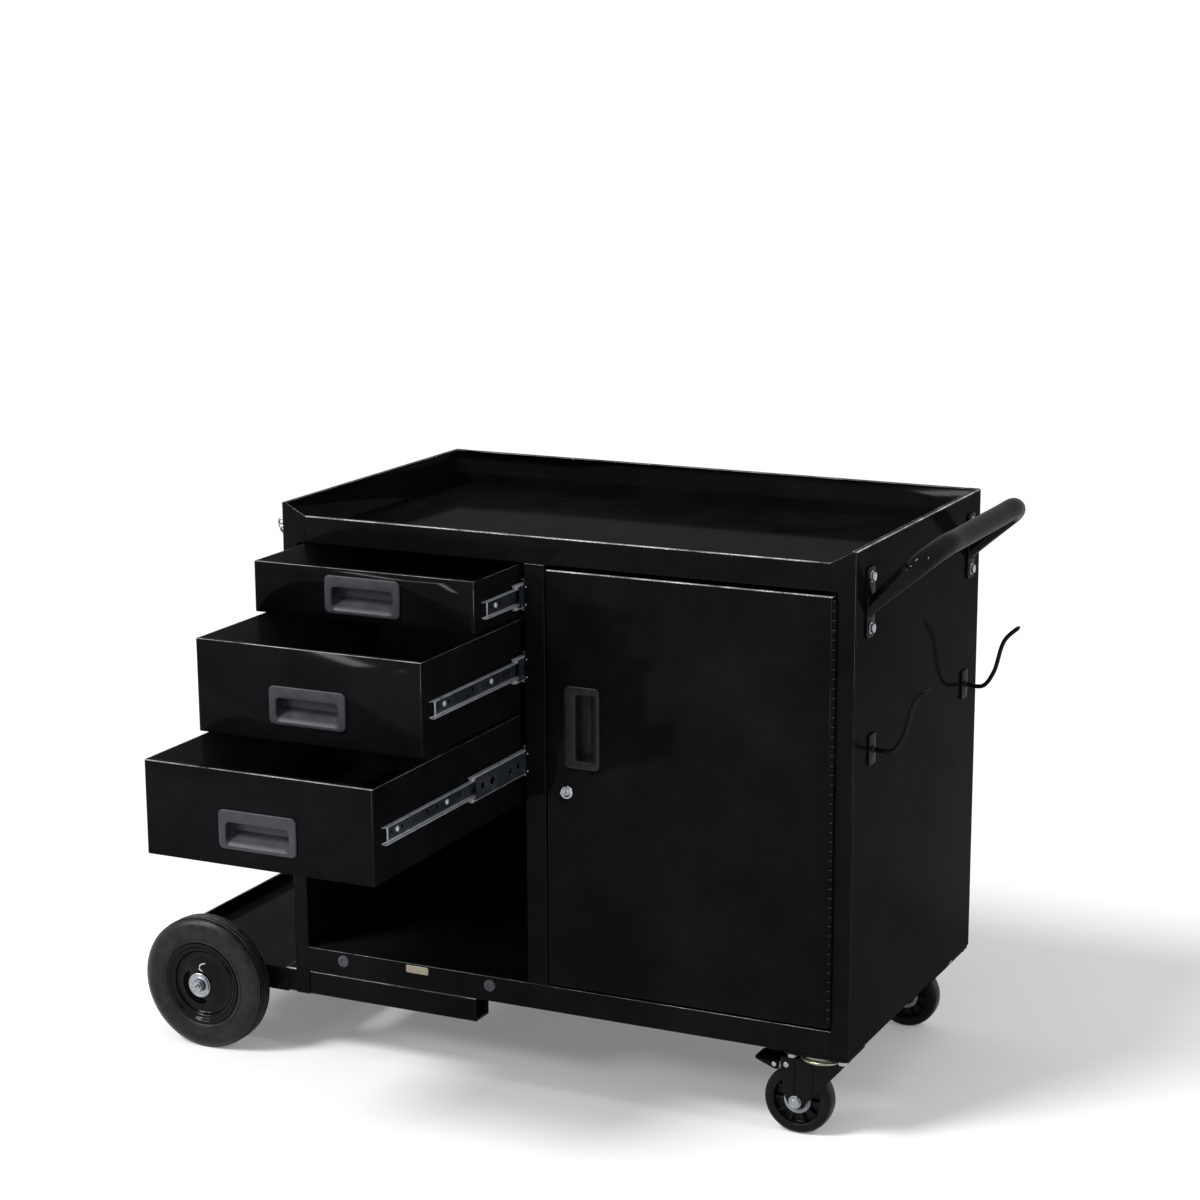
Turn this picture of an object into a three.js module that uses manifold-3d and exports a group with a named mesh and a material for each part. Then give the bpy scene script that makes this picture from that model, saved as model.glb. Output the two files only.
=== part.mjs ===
// Welding cart: a sheet-steel cabinet with three drawers, an open bay and a locking door under a
// tray top. It rolls on two plain wheels below a gas-cylinder tray and on two braked casters.
// Millimetres, +Z up. The cabinet frame has x = 0 at its left side, y = 0 at its front face and
// z = 0 on the floor. The group is moved at the end so that its box stands centred on the origin.
import * as THREE from "three";
import { mergeVertices } from "three/addons/utils/BufferGeometryUtils.js";
import Module from "manifold-3d";

const wasm = await Module();
wasm.setup();

// Cabinet body
const sheet = 1.5;
const seam = 0.3;
const sliver = 0.005;
const cabinetWidth = 900;
const cabinetDepth = 535;
const bodyHeight = 725;
const rimRise = 18;
const apronHeight = 40;
const sillHeight = 38.5;
const deckBelowLip = 36;
const rimFold = 7;
const lipFold = 9;
const apronFold = 15;
const leftPost = 23;
const dividerPost = 32;
const rightPost = 27;
const cornerWidth = 38;
const cornerFlat = 4;
const rearFlange = 20;
const baseFlange = 20;

// Drawers, top one first. The pull and the slides lie below the middle of the front by their drop.
// middleOut and innerOut are how far the two slide stages stand open.
const drawerOpening = 375.5;
const drawerSheet = 1.2;
const drawerTopGap = 3;
const drawerGap = 7;
const drawerFrontFold = 10;
const drawerBackClearance = 12;
const drawers = [
  { height: 74, pullDrop: 0, slideDrop: 7, middleOut: 30, innerOut: 101 },
  { height: 133, pullDrop: 15, slideDrop: 2.5, middleOut: 34, innerOut: 250 },
  { height: 133, pullDrop: 15, slideDrop: 2, middleOut: 168, innerOut: 250 },
];

// Ball-bearing drawer slides: three nested channels
const slideWall = 1.4;
const slideRun = 0.4;
const innerReach = 7.4;
const innerHeight = 25;
const middleHeight = 36;
const outerHeight = 45;
const channelLip = 2;
const postClearance = 0.25;
const slideSetback = 6;
const innerSetback = 20;
const slideBackClearance = 24;

// Recessed pulls
const pullLength = 121;
const pullHeight = 55;
const pullCorner = 9;
const pullRim = 3;
const pullMouthLength = 99;
const pullMouthHeight = 32;
const pullLowerMargin = 6;
const pullDepth = 17;
const pullWall = 2.5;
const pullGripThickness = 2.5;
const pullUndercut = 8;
const pullSlopeRise = 16;

// Door with its piano hinge and lock
const doorSideGap = 2;
const doorTopGap = 6.5;
const doorBottomGap = 3;
const doorReturn = 18;
const doorPullFromEdge = 56.5;
const doorPullAboveSill = 396.5;
const knuckleRadius = 3.2;
const knuckleProud = 2.2;
const knuckleLength = 30;
const knuckleGap = 0.4;
const leafThickness = 1;
const leafDepth = 16;
const leafInset = 4;
const pinRadius = 1.3;
const lockFromEdge = 31;
const lockAboveSill = 299.5;
const lockBezelRadius = 10.5;
const lockBezelThickness = 2.7;
const lockBodyRadius = 9;
const lockPlugRadius = 5;
const camLength = 38;
const camWidth = 14;
const camThickness = 2.5;

// Cylinder tray with the two rails that carry it under the cabinet
const trayLength = 242;
const traySetOut = 16;
const trayWall = 3;
const trayLipDrop = 2.5;
const trayEndRise = 10;
const trayFloorDrop = 6.5;
const railHeight = 37;
const railDepth = 40;
const railWall = 2.5;
const railReach = 310;

// Plain wheels on one through axle
const wheelRadius = 104;
const wheelWidth = 40;
const wheelRimRadius = 65;
const wheelInset = 13;
const axleFromCabinet = 139;
const axleRadius = 7;
const hubProud = 1;
const hubRadius = 14;
const capRadius = 19.5;
const capThickness = 3;
const axleNutRadius = 9.5;
const axleNutLength = 8;
const axleEndRadius = 5;
const axleEndReach = 16;
const treadGroove = 3;
const treadGrooveDepth = 2.5;
const treadPitch = 8;
// Each pair is a drop below the tread and a step in from the side of the tyre.
const tyreShoulder = [
  [15, 0],
  [6, 0.8],
  [2, 2.6],
  [0, 6],
];
const tyreBeadRise = 4;
const tyreBeadInset = 3;
const rimWall = 3;
const rimBeadStep = 1;
const rimLip = 11;
const rimDish = 13;
const rimDiscInner = 20;
const rimDiscOuter = 30;
const hubFillet = 8;

// Casters under the right-hand end
const casterAxisFromSide = 50;
const casterAxisFromFront = 37;
const casterTrail = 36;
const casterRadius = 50.8;
const casterWidth = 30;
const casterBolt = 5;
const casterNut = 9;
const casterHub = 12;
const casterTreadDepth = 15;
const casterDish = 6;
const casterCrown = 2.5;
const casterCrownGap = 10.5;
const casterPlateLength = 98;
const casterPlateWidth = 76;
const casterPlateThickness = 4;
const racewayRadius = 34;
const racewayThickness = 12;
const forkThickness = 4;
const forkWheelGap = 2;
const forkLegWidth = 34;
const forkNeck = 5;
const pedalLength = 50;
const pedalWidth = 42;
const pedalThickness = 2.5;
const pedalCheekDepth = 13;
const pedalPivotRadius = 4;
const pedalPivotFromAxle = 14;
const pedalWheelGap = 3.5;
const crossmemberWidth = 99;
const crossmemberWall = 2.5;

// Push handle: a bent tube whose pressed ends are welded to two bolted plates
const handleTubeRadius = 15.5;
const handleReach = 85;
const handleBarDrop = 5;
const handleFootDrop = 85;
const handleFootFromEdge = 49;
const handleBend = 62;
const handleArmInset = 12;
const handleArmShares = [-0.2, 0.2, 0.5, 0.8, 1];
const handleEndHeight = 22;
const handleEndTaper = 105;
const handlePlateWidth = 30;
const handlePlateHeight = 99;
const handlePlateDrop = 78;
const handlePlateThickness = 3;
const handlePlateCorner = 8;

// Cable hooks, cylinder chain and small fittings
const hookFromEdge = 65;
const hookWire = 3.2;
const hookDrop = 289;
const hookReach = 44;
const hookTipReach = 88;
const hookTipRise = 98;
const hookLevelReach = 30.8;
const hookRiseReach = 63.36;
const hookRiseHeight = 73.5;
const hookPadWidth = 26;
const hookPadHeight = 44;
const hookPadThickness = 3;
const eyeDrop = 38;
const eyeFromEdge = 22;
const eyeStandOff = 12;
const eyeWire = 3;
const eyeSpan = 26;
const linkLength = 30;
const linkWidth = 18;
const linkWire = 2;
const linkBite = 0.6;
const linkPlay = 0.5;
const chainLinks = 33;
const catchLength = 38;
const catchHeight = 12;
const catchThickness = 2;
const catchFromDivider = 186;
const catchBelowSill = 2;

// Facets of the round pieces, and steps along the curved ones
const cornerFacets = 5;
const wheelFacets = 32;
const discFacets = 24;
const barrelFacets = 20;
const barFacets = 16;
const boltFacets = 12;
const stapleFacets = 10;
const pinFacets = 8;
const nutFacets = 6;
const kneeFacets = [8, 6];
const linkFacets = [4, 8];
const handleSteps = 52;
const handleFacets = 6;
const hookSteps = 16;
const hookFacets = 3;
const curveRounds = 60;

// Heights and places that follow from the sizes above
const casterHead = casterPlateThickness + racewayThickness + forkThickness + 3 * seam;
const cabinetBottom = 2 * casterRadius + casterCrownGap + casterHead;
const rimTop = cabinetBottom + bodyHeight;
const lipTop = rimTop - rimRise;
const openingTop = lipTop - apronHeight;
const sillTop = cabinetBottom + sillHeight;
const deckTop = lipTop - deckBelowLip;
const innerLeft = sheet + seam;
const innerRight = cabinetWidth - innerLeft;
const backFront = cabinetDepth - 2 * sheet - seam;
const innerRear = backFront - seam;
const postFaceRight = cabinetWidth - rightPost;
const dividerLeft = leftPost + drawerOpening;
const dividerRight = dividerLeft + dividerPost;
const railTop = cabinetBottom - seam;
const railBottom = railTop - railHeight;
const railFront = sheet + seam;
const trayLipTop = cabinetBottom - trayLipDrop;
const traySkirt = Math.min(railBottom, wheelRadius - axleRadius - trayWall);
const trayLeft = -traySetOut - trayLength;
const middleReach = innerReach + slideRun + slideWall;
const slideThickness = middleReach + slideRun + slideWall;
const slideLength = cabinetDepth - slideSetback - slideBackClearance;
const drawerInset = postClearance + middleReach + seam;
const drawerLeft = leftPost + drawerInset;
const drawerRight = dividerLeft - drawerInset;
const drawerDepth = cabinetDepth - drawerBackClearance - slideBackClearance;
const slideFaceLeft = drawerLeft - slideThickness - 2 * seam;
const slideFaceRight = drawerRight + slideThickness + 2 * seam;
const hingeX = postFaceRight - seam - knuckleRadius;
const doorLeft = dividerRight + doorSideGap;
const doorRight = hingeX - knuckleRadius - seam;
const doorTop = openingTop - doorTopGap;
const doorBottom = sillTop + doorBottomGap;
const doorPullHeight = sillTop + doorPullAboveSill;
const lockHeight = sillTop + lockAboveSill;
const lockBodyDepth = doorReturn + seam;
const wheelSide = wheelInset + wheelWidth / 2;
const casterX = cabinetWidth - casterAxisFromSide;
const handleBarHeight = rimTop - handleBarDrop;
const handleFootHeight = rimTop - handleFootDrop;
const hookFootHeight = rimTop - hookDrop;
const eyeHeight = rimTop - eyeDrop;

// Materials
const finish = (color, roughness, metalness) => () =>
  new THREE.MeshStandardMaterial({ color, roughness, metalness });
const blackPaint = finish(0x141517, 0.28, 0.1);
const greyPlastic = finish(0x74777b, 0.55, 0);
const darkPlastic = finish(0x4c4f52, 0.55, 0);
const zinc = finish(0xc4c8cc, 0.35, 0.9);
const chrome = finish(0xdfe2e5, 0.12, 1);
const nickel = finish(0xb9ad93, 0.35, 0.9);
const rubber = finish(0x2a2a2b, 0.8, 0);
const casterRubber = finish(0x3a3b3d, 0.7, 0);

// A closed three.js geometry as a solid that can be joined and cut.
function solidOf(geometry) {
  const bare = geometry.index ? geometry.toNonIndexed() : geometry.clone();
  bare.deleteAttribute("normal");
  bare.deleteAttribute("uv");
  const merged = mergeVertices(bare, 1e-4);
  return new wasm.Manifold(
    new wasm.Mesh({
      numProp: 3,
      vertProperties: merged.attributes.position.array,
      triVerts: new Uint32Array(merged.index.array),
    }),
  );
}

// The solid back as a geometry, with the slivers that joins leave on shared planes taken out.
function geometryOf(solid) {
  const mesh = solid.asOriginal().simplify(sliver).getMesh();
  const geometry = new THREE.BufferGeometry();
  geometry.setAttribute("position", new THREE.BufferAttribute(mesh.vertProperties, 3));
  geometry.setIndex(new THREE.BufferAttribute(mesh.triVerts, 1));
  geometry.computeVertexNormals();
  return geometry;
}

const fuse = (...solids) => solids.reduce((whole, piece) => whole.add(piece));
const cut = (solid, ...tools) => tools.reduce((left, tool) => left.subtract(tool), solid);

function addPiece(parent, name, solid, material) {
  const mesh = new THREE.Mesh(geometryOf(solid), material());
  mesh.name = name;
  parent.add(mesh);
}

// A box between two x, two y and two z values. Its corners take those values themselves, so that
// boxes that share a plane meet exactly.
function block(x0, x1, y0, y1, z0, z1) {
  const box = new THREE.BoxGeometry(1, 1, 1);
  const corners = box.getAttribute("position");
  for (let index = 0; index < corners.count; index += 1) {
    const x = corners.getX(index) < 0 ? x0 : x1;
    const y = corners.getY(index) < 0 ? y0 : y1;
    const z = corners.getZ(index) < 0 ? z0 : z1;
    corners.setXYZ(index, x, y, z);
  }
  return solidOf(box);
}

// An outline with straight sides to a depth.
const extruded = (shape, depth) =>
  new THREE.ExtrudeGeometry(shape, { depth, bevelEnabled: false, curveSegments: cornerFacets });

// An outline drawn in x and z, carried along y.
function prismY(shape, y0, y1) {
  return solidOf(extruded(shape, y1 - y0).rotateX(Math.PI / 2).translate(0, y1, 0));
}

// Turns what is drawn in x and y, with depth along z, to y and z with depth along x.
const yzPlane = new THREE.Matrix4().makeBasis(
  new THREE.Vector3(0, 1, 0),
  new THREE.Vector3(0, 0, 1),
  new THREE.Vector3(1, 0, 0),
);

// An outline drawn in y and z, carried along x.
function prismX(shape, x0, x1) {
  return solidOf(extruded(shape, x1 - x0).applyMatrix4(yzPlane).translate(x0, 0, 0));
}

const outline = (points) => new THREE.Shape(points.map(([u, v]) => new THREE.Vector2(u, v)));

function roundedRectangle(length, height, radius) {
  const shape = new THREE.Shape();
  const u = length / 2 - radius;
  const v = height / 2 - radius;
  shape.absarc(u, v, radius, 0, Math.PI / 2);
  shape.absarc(-u, v, radius, Math.PI / 2, Math.PI);
  shape.absarc(-u, -v, radius, Math.PI, 1.5 * Math.PI);
  shape.absarc(u, -v, radius, 1.5 * Math.PI, 2 * Math.PI);
  return shape;
}

// A round bar from one point to another.
function bar(radius, from, to, sides = barFacets) {
  const start = new THREE.Vector3(...from);
  const along = new THREE.Vector3(...to).sub(start);
  const cylinder = new THREE.CylinderGeometry(radius, radius, along.length(), sides);
  const turn = new THREE.Quaternion().setFromUnitVectors(
    new THREE.Vector3(0, 1, 0),
    along.clone().normalize(),
  );
  cylinder.applyQuaternion(turn);
  const middle = start.addScaledVector(along, 0.5);
  return solidOf(cylinder.translate(middle.x, middle.y, middle.z));
}

// A profile of radius and place along y, turned about the y axis. It runs from -y to +y outside.
function turned(profile, sides) {
  const points = profile.map(([radius, y]) => new THREE.Vector2(radius, y));
  points.push(points[0].clone());
  return solidOf(new THREE.LatheGeometry(points, sides));
}

// A round wire along a curve.
function wire(curve, radius, steps, sides) {
  const ring = new THREE.Shape();
  ring.absarc(0, 0, radius, 0, 2 * Math.PI);
  const options = { steps, curveSegments: sides, extrudePath: curve };
  return new THREE.ExtrudeGeometry(ring, options);
}

const smooth = (points) =>
  new THREE.CatmullRomCurve3(points.map((point) => new THREE.Vector3(...point)));

const cart = new THREE.Group();

// Side panels: one sheet each, folded to a front post, a rear flange and an inward rim. The left
// post runs on down over the end of the tray's rail.
function sidePanel(postOutline, outside, inward) {
  const x = (distance) => outside + inward * distance;
  const span = (a, b) => [Math.min(x(a), x(b)), Math.max(x(a), x(b))];
  return fuse(
    block(...span(0, sheet), 0, cabinetDepth, cabinetBottom, rimTop),
    prismY(outline(postOutline.map(([distance, z]) => [x(distance), z])), 0, sheet),
    block(...span(0, rearFlange), cabinetDepth - sheet, cabinetDepth, cabinetBottom, rimTop),
    block(...span(0, rimFold), 0, cabinetDepth, rimTop - sheet, rimTop),
  );
}

const postOutline = (width, bottom) => [
  [0, bottom],
  [width, bottom],
  [width, openingTop],
  [cornerWidth, openingTop],
  [cornerWidth, lipTop],
  [cornerFlat, rimTop],
  [0, rimTop],
];

addPiece(cart, "left_side_panel", sidePanel(postOutline(leftPost, railBottom), 0, 1), blackPaint);

const hingeReturn = block(
  postFaceRight,
  postFaceRight + sheet,
  0,
  leafDepth,
  sillTop,
  openingTop,
);
addPiece(
  cart,
  "right_side_panel",
  fuse(sidePanel(postOutline(rightPost, cabinetBottom), cabinetWidth, -1), hingeReturn),
  blackPaint,
);

// Back panel: stands inside the rear flanges, with its rim folded forward.
addPiece(
  cart,
  "back_panel",
  fuse(
    block(innerLeft, innerRight, backFront, backFront + sheet, cabinetBottom, rimTop - sheet - seam),
    block(
      rimFold + seam,
      cabinetWidth - rimFold - seam,
      backFront - rimFold,
      backFront + sheet,
      rimTop - sheet,
      rimTop,
    ),
    block(
      rimFold + seam,
      cabinetWidth - rimFold - seam,
      backFront,
      backFront + sheet,
      rimTop - 2 * sheet,
      rimTop,
    ),
  ),
  blackPaint,
);

// Bottom pan: the cabinet's floor, folded down to the front sill and to the sides and back.
const sillLeft = leftPost + seam;
const sillRight = postFaceRight - seam;
const crossmemberLeft = innerRight - seam - crossmemberWidth;
addPiece(
  cart,
  "bottom_pan",
  fuse(
    block(innerLeft, innerRight, innerLeft, innerRear, sillTop - sheet, sillTop),
    block(sillLeft, sillRight, 0, innerLeft + sheet, sillTop - sheet, sillTop),
    block(sillLeft, sillRight, 0, sheet, cabinetBottom, sillTop),
    block(sillLeft, crossmemberLeft - seam, 0, baseFlange, cabinetBottom, cabinetBottom + sheet),
    block(innerLeft, innerLeft + sheet, innerLeft, innerRear, cabinetBottom, sillTop),
    block(innerLeft, innerRight, innerRear - sheet, innerRear, cabinetBottom, sillTop),
    block(
      innerLeft,
      crossmemberLeft - seam,
      innerRear - baseFlange,
      innerRear,
      cabinetBottom,
      cabinetBottom + sheet,
    ),
  ),
  blackPaint,
);

// Channel across the right-hand end that the casters are bolted to.
addPiece(
  cart,
  "caster_crossmember",
  cut(
    block(
      crossmemberLeft,
      crossmemberLeft + crossmemberWidth,
      innerLeft,
      innerRear - sheet - seam,
      cabinetBottom,
      sillTop - sheet - seam,
    ),
    block(
      crossmemberLeft + crossmemberWall,
      crossmemberLeft + crossmemberWidth - crossmemberWall,
      0,
      cabinetDepth,
      cabinetBottom + crossmemberWall,
      sillTop,
    ),
  ),
  blackPaint,
);

// Top tray: deck and three walls inside the panels, with the apron folded down at the front.
const apronLeft = cornerWidth + seam;
const apronRight = cabinetWidth - cornerWidth - seam;
const trayWallTop = rimTop - sheet - seam;
addPiece(
  cart,
  "top_tray",
  fuse(
    block(innerLeft, innerRight, innerLeft, innerRear, deckTop - sheet, deckTop),
    block(innerLeft, innerLeft + sheet, innerLeft, innerRear, deckTop - sheet, trayWallTop),
    block(innerRight - sheet, innerRight, innerLeft, innerRear, deckTop - sheet, trayWallTop),
    block(innerLeft, innerRight, innerRear - sheet, innerRear, deckTop - sheet, trayWallTop),
    block(apronLeft, apronRight, 0, innerLeft + sheet, deckTop - sheet, deckTop),
    block(apronLeft, apronRight, 0, sheet, openingTop, lipTop),
    block(apronLeft, apronRight, 0, lipFold, lipTop - sheet, lipTop),
    block(apronLeft, apronRight, 0, apronFold, openingTop, openingTop + sheet),
  ),
  blackPaint,
);

// Divider between the drawers and the door, with its front post.
addPiece(
  cart,
  "divider_panel",
  fuse(
    block(
      slideFaceRight,
      slideFaceRight + sheet,
      0,
      innerRear,
      sillTop + seam,
      openingTop - seam,
    ),
    block(dividerLeft, dividerRight, 0, sheet, sillTop + seam, openingTop - seam),
    block(dividerRight - sheet, dividerRight, 0, leafDepth, sillTop + seam, openingTop - seam),
  ),
  blackPaint,
);

// Drawer heights, from the top of the opening down.
let nextTop = openingTop - drawerTopGap;
for (const drawer of drawers) {
  drawer.top = nextTop;
  drawer.bottom = nextTop - drawer.height;
  drawer.slideHeight = nextTop - drawer.height / 2 - drawer.slideDrop;
  nextTop = drawer.bottom - drawerGap;
}
const bayTop = nextTop;

// Hat panel that brings the left-hand slides out past the post.
addPiece(
  cart,
  "slide_mount_panel",
  fuse(
    block(slideFaceLeft - sheet, slideFaceLeft, railFront, innerRear - seam, bayTop, openingTop - seam),
    block(innerLeft, slideFaceLeft, railFront, railFront + sheet, bayTop, openingTop - seam),
    block(
      innerLeft,
      slideFaceLeft,
      innerRear - seam - sheet,
      innerRear - seam,
      bayTop,
      openingTop - seam,
    ),
  ),
  blackPaint,
);

// One channel of a slide, drawn in x and z with its web at webX and its lips ending at tipX.
function channel(webX, tipX, height, middleZ) {
  const inward = Math.sign(tipX - webX) * slideWall;
  const low = middleZ - height / 2;
  const high = middleZ + height / 2;
  return outline([
    [webX, low],
    [tipX, low],
    [tipX, low + slideWall],
    [webX + inward, low + slideWall],
    [webX + inward, high - slideWall],
    [tipX, high - slideWall],
    [tipX, high],
    [webX, high],
  ]);
}

// Recessed pull, lying on the x-z plane with its rim towards -y and its grip lip at the top.
const mouthLow = -pullHeight / 2 + pullLowerMargin;
const mouthHigh = mouthLow + pullMouthHeight;
const pocketHigh = mouthHigh + pullUndercut;
function recessedPull() {
  const rim = prismY(roundedRectangle(pullLength, pullHeight, pullCorner), -pullRim, -seam);
  const shell = block(
    -pullMouthLength / 2 - pullWall,
    pullMouthLength / 2 + pullWall,
    -pullRim / 2,
    pullDepth + pullWall,
    mouthLow - pullWall / 2,
    pocketHigh + pullWall,
  );
  const pocket = outline([
    [-2 * pullRim, mouthLow],
    [-2 * pullRim, mouthHigh],
    [pullGripThickness, mouthHigh],
    [pullGripThickness, pocketHigh],
    [pullDepth, pocketHigh],
    [pullDepth, mouthLow + pullSlopeRise],
    [-pullRim, mouthLow],
  ]);
  const scoop = prismX(pocket, -pullMouthLength / 2, pullMouthLength / 2);
  return cut(fuse(rim, shell), scoop);
}

// The hole a pull needs in the sheet behind it, about the pull's own centre.
const pullHole = {
  side: pullMouthLength / 2 + pullWall + seam,
  low: mouthLow - pullWall / 2 - seam,
  high: pocketHigh + pullWall + seam,
};

// Drawers: folded box with the slides' inner channels, on a pair of middle channels. All are
// drawn shut, and each stage's group is moved out along -y.
const middleSlideFront = slideSetback + seam;
const drawerMiddle = (drawerLeft + drawerRight) / 2;
drawers.forEach((drawer, index) => {
  const name = `drawer_${index + 1}`;
  const middleStage = new THREE.Group();
  middleStage.position.y = -drawer.middleOut;
  const drawerStage = new THREE.Group();
  drawerStage.position.y = -drawer.innerOut;
  middleStage.add(drawerStage);
  cart.add(middleStage);

  const pullZ = (drawer.top + drawer.bottom) / 2 - drawer.pullDrop;
  const box = cut(
    block(drawerLeft, drawerRight, 0, drawerDepth, drawer.bottom, drawer.top),
    block(
      drawerLeft + drawerSheet,
      drawerRight - drawerSheet,
      drawerSheet,
      drawerDepth - drawerSheet,
      drawer.bottom + drawerSheet,
      drawer.top + drawerSheet,
    ),
    block(
      drawerMiddle - pullHole.side,
      drawerMiddle + pullHole.side,
      -drawerSheet,
      2 * drawerSheet,
      pullZ + pullHole.low,
      pullZ + pullHole.high,
    ),
  );
  const frontFold = block(
    drawerLeft,
    drawerRight,
    0,
    drawerFrontFold,
    drawer.top - drawerSheet,
    drawer.top,
  );
  addPiece(drawerStage, `${name}_box`, fuse(box, frontFold), blackPaint);

  const pull = new THREE.Group();
  pull.position.set(drawerMiddle, 0, pullZ);
  drawerStage.add(pull);
  addPiece(pull, `${name}_pull`, recessedPull(), greyPlastic);

  for (const side of ["left", "right"]) {
    const x = (reach) =>
      side === "left" ? drawerLeft - seam - reach : drawerRight + seam + reach;
    const z = drawer.slideHeight;
    const outerLips = channel(x(slideThickness), x(channelLip), outerHeight, z);
    const middleLips = channel(x(middleReach), x(channelLip), middleHeight, z);
    const innerLips = channel(x(0), x(innerReach), innerHeight, z);
    const slide = `${name}_slide_${side}`;
    const slideEnd = slideSetback + slideLength;
    addPiece(cart, `${slide}_outer`, prismY(outerLips, slideSetback, slideEnd), zinc);
    addPiece(middleStage, `${slide}_middle`, prismY(middleLips, middleSlideFront, slideEnd), zinc);
    addPiece(drawerStage, `${slide}_inner`, prismY(innerLips, innerSetback, drawerDepth), zinc);
  }
});

// Door: a folded pan with holes for its pull and lock.
const doorPullX = doorLeft + doorPullFromEdge;
const lockX = doorLeft + lockFromEdge;
const doorPan = cut(
  block(doorLeft, doorRight, 0, doorReturn, doorBottom, doorTop),
  block(
    doorLeft + sheet,
    doorRight - sheet,
    sheet,
    2 * doorReturn,
    doorBottom + sheet,
    doorTop - sheet,
  ),
  block(
    doorPullX - pullHole.high,
    doorPullX - pullHole.low,
    -sheet,
    2 * sheet,
    doorPullHeight - pullHole.side,
    doorPullHeight + pullHole.side,
  ),
  bar(lockBodyRadius + seam, [lockX, -sheet, lockHeight], [lockX, 2 * sheet, lockHeight], barrelFacets),
);
addPiece(cart, "door_panel", doorPan, blackPaint);

const doorPull = new THREE.Group();
doorPull.position.set(doorPullX, 0, doorPullHeight);
doorPull.rotation.y = -Math.PI / 2;
cart.add(doorPull);
addPiece(doorPull, "door_pull", recessedPull(), darkPlastic);

// Piano hinge: two leaves with alternate knuckles on one long pin.
const hingeBottom = doorBottom + leafInset;
const hingeTop = doorTop - leafInset;
const knuckleCount = 2 * Math.round((hingeTop - hingeBottom) / knuckleLength / 2) + 1;
const knucklePitch = (hingeTop - hingeBottom) / knuckleCount;
const hingePoint = (z) => [hingeX, -knuckleProud, z];
const pinBore = bar(pinRadius + seam, hingePoint(hingeBottom - 1), hingePoint(hingeTop + 1), pinFacets);
function hingeLeaf(firstKnuckle, leafX) {
  let leaf = block(leafX, leafX + leafThickness, -knuckleProud, leafDepth, hingeBottom, hingeTop);
  for (let index = 0; index < knuckleCount; index += 1) {
    const low = hingeBottom + index * knucklePitch;
    const high = low + knucklePitch;
    if (index % 2 === firstKnuckle) {
      const knuckle = bar(
        knuckleRadius,
        hingePoint(low + knuckleGap / 2),
        hingePoint(high - knuckleGap / 2),
        pinFacets,
      );
      leaf = leaf.add(knuckle);
    } else {
      const room = knuckleRadius + seam;
      leaf = leaf.subtract(
        block(
          hingeX - room,
          hingeX + room,
          -knuckleProud - room,
          -knuckleProud + room,
          low - knuckleGap / 2,
          high + knuckleGap / 2,
        ),
      );
    }
  }
  return leaf.subtract(pinBore);
}
addPiece(cart, "hinge_frame_leaf", hingeLeaf(0, hingeX + knuckleRadius - leafThickness), zinc);
addPiece(cart, "hinge_door_leaf", hingeLeaf(1, hingeX - knuckleRadius), zinc);
addPiece(
  cart,
  "hinge_pin",
  bar(pinRadius, hingePoint(hingeBottom), hingePoint(hingeTop), pinFacets),
  zinc,
);

// Cam lock: the body stays in the door, and the key plug turns with the cam behind it. The cam
// stands upright when unlocked and reaches behind the divider's post when locked.
const lockPoint = (y) => [lockX, y, lockHeight];
const plugFront = -lockBezelThickness - 2 * seam;
const camFront = lockBodyDepth + seam;
addPiece(
  cart,
  "lock_body",
  cut(
    fuse(
      bar(lockBezelRadius, lockPoint(-lockBezelThickness - seam), lockPoint(-seam), discFacets),
      bar(lockBodyRadius, lockPoint(-seam - sheet / 2), lockPoint(lockBodyDepth), barrelFacets),
    ),
    bar(lockPlugRadius + seam, lockPoint(-doorReturn), lockPoint(2 * doorReturn)),
  ),
  chrome,
);
addPiece(
  cart,
  "lock_plug",
  fuse(
    bar(lockPlugRadius, lockPoint(plugFront), lockPoint(camFront + camThickness)),
    block(
      lockX - camWidth / 2,
      lockX + camWidth / 2,
      camFront,
      camFront + camThickness,
      lockHeight - camWidth / 2,
      lockHeight + camLength,
    ),
  ),
  chrome,
);

// Magnetic catch on the sill of the open bay.
const catchRight = dividerLeft - catchFromDivider + catchLength / 2;
addPiece(
  cart,
  "bay_catch",
  block(
    catchRight - catchLength,
    catchRight,
    -catchThickness - seam,
    -seam,
    sillTop - catchBelowSill - catchHeight,
    sillTop - catchBelowSill,
  ),
  nickel,
);

// Cylinder tray: flat-bar walls round a floor plate, with a taller stop at the outer end, welded
// to two box rails.
const axleX = -axleFromCabinet;
const trayRight = -traySetOut;
const trayRear = cabinetDepth - railFront;
const trayFloorTop = trayLipTop - trayFloorDrop;
const railTube = (y0) =>
  cut(
    block(trayRight - trayWall, railReach, y0, y0 + railDepth, railBottom, railTop),
    block(
      trayRight + railWall,
      railReach + railWall,
      y0 + railWall,
      y0 + railDepth - railWall,
      railBottom + railWall,
      railTop - railWall,
    ),
  );
const trayPan = cut(
  block(trayLeft, trayRight, railFront, trayRear, traySkirt, trayLipTop),
  block(
    trayLeft + trayWall,
    trayRight - trayWall,
    railFront + trayWall,
    trayRear - trayWall,
    trayFloorTop,
    trayLipTop + trayWall,
  ),
  block(
    trayLeft + trayWall,
    trayRight - trayWall,
    railFront + trayWall,
    trayRear - trayWall,
    traySkirt - trayWall,
    trayFloorTop - trayWall,
  ),
);
const trayEnd = block(
  trayLeft,
  trayLeft + trayWall,
  railFront,
  trayRear,
  traySkirt,
  cabinetBottom + trayEndRise,
);
const axlePoint = (y) => [axleX, y, wheelRadius];
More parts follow.
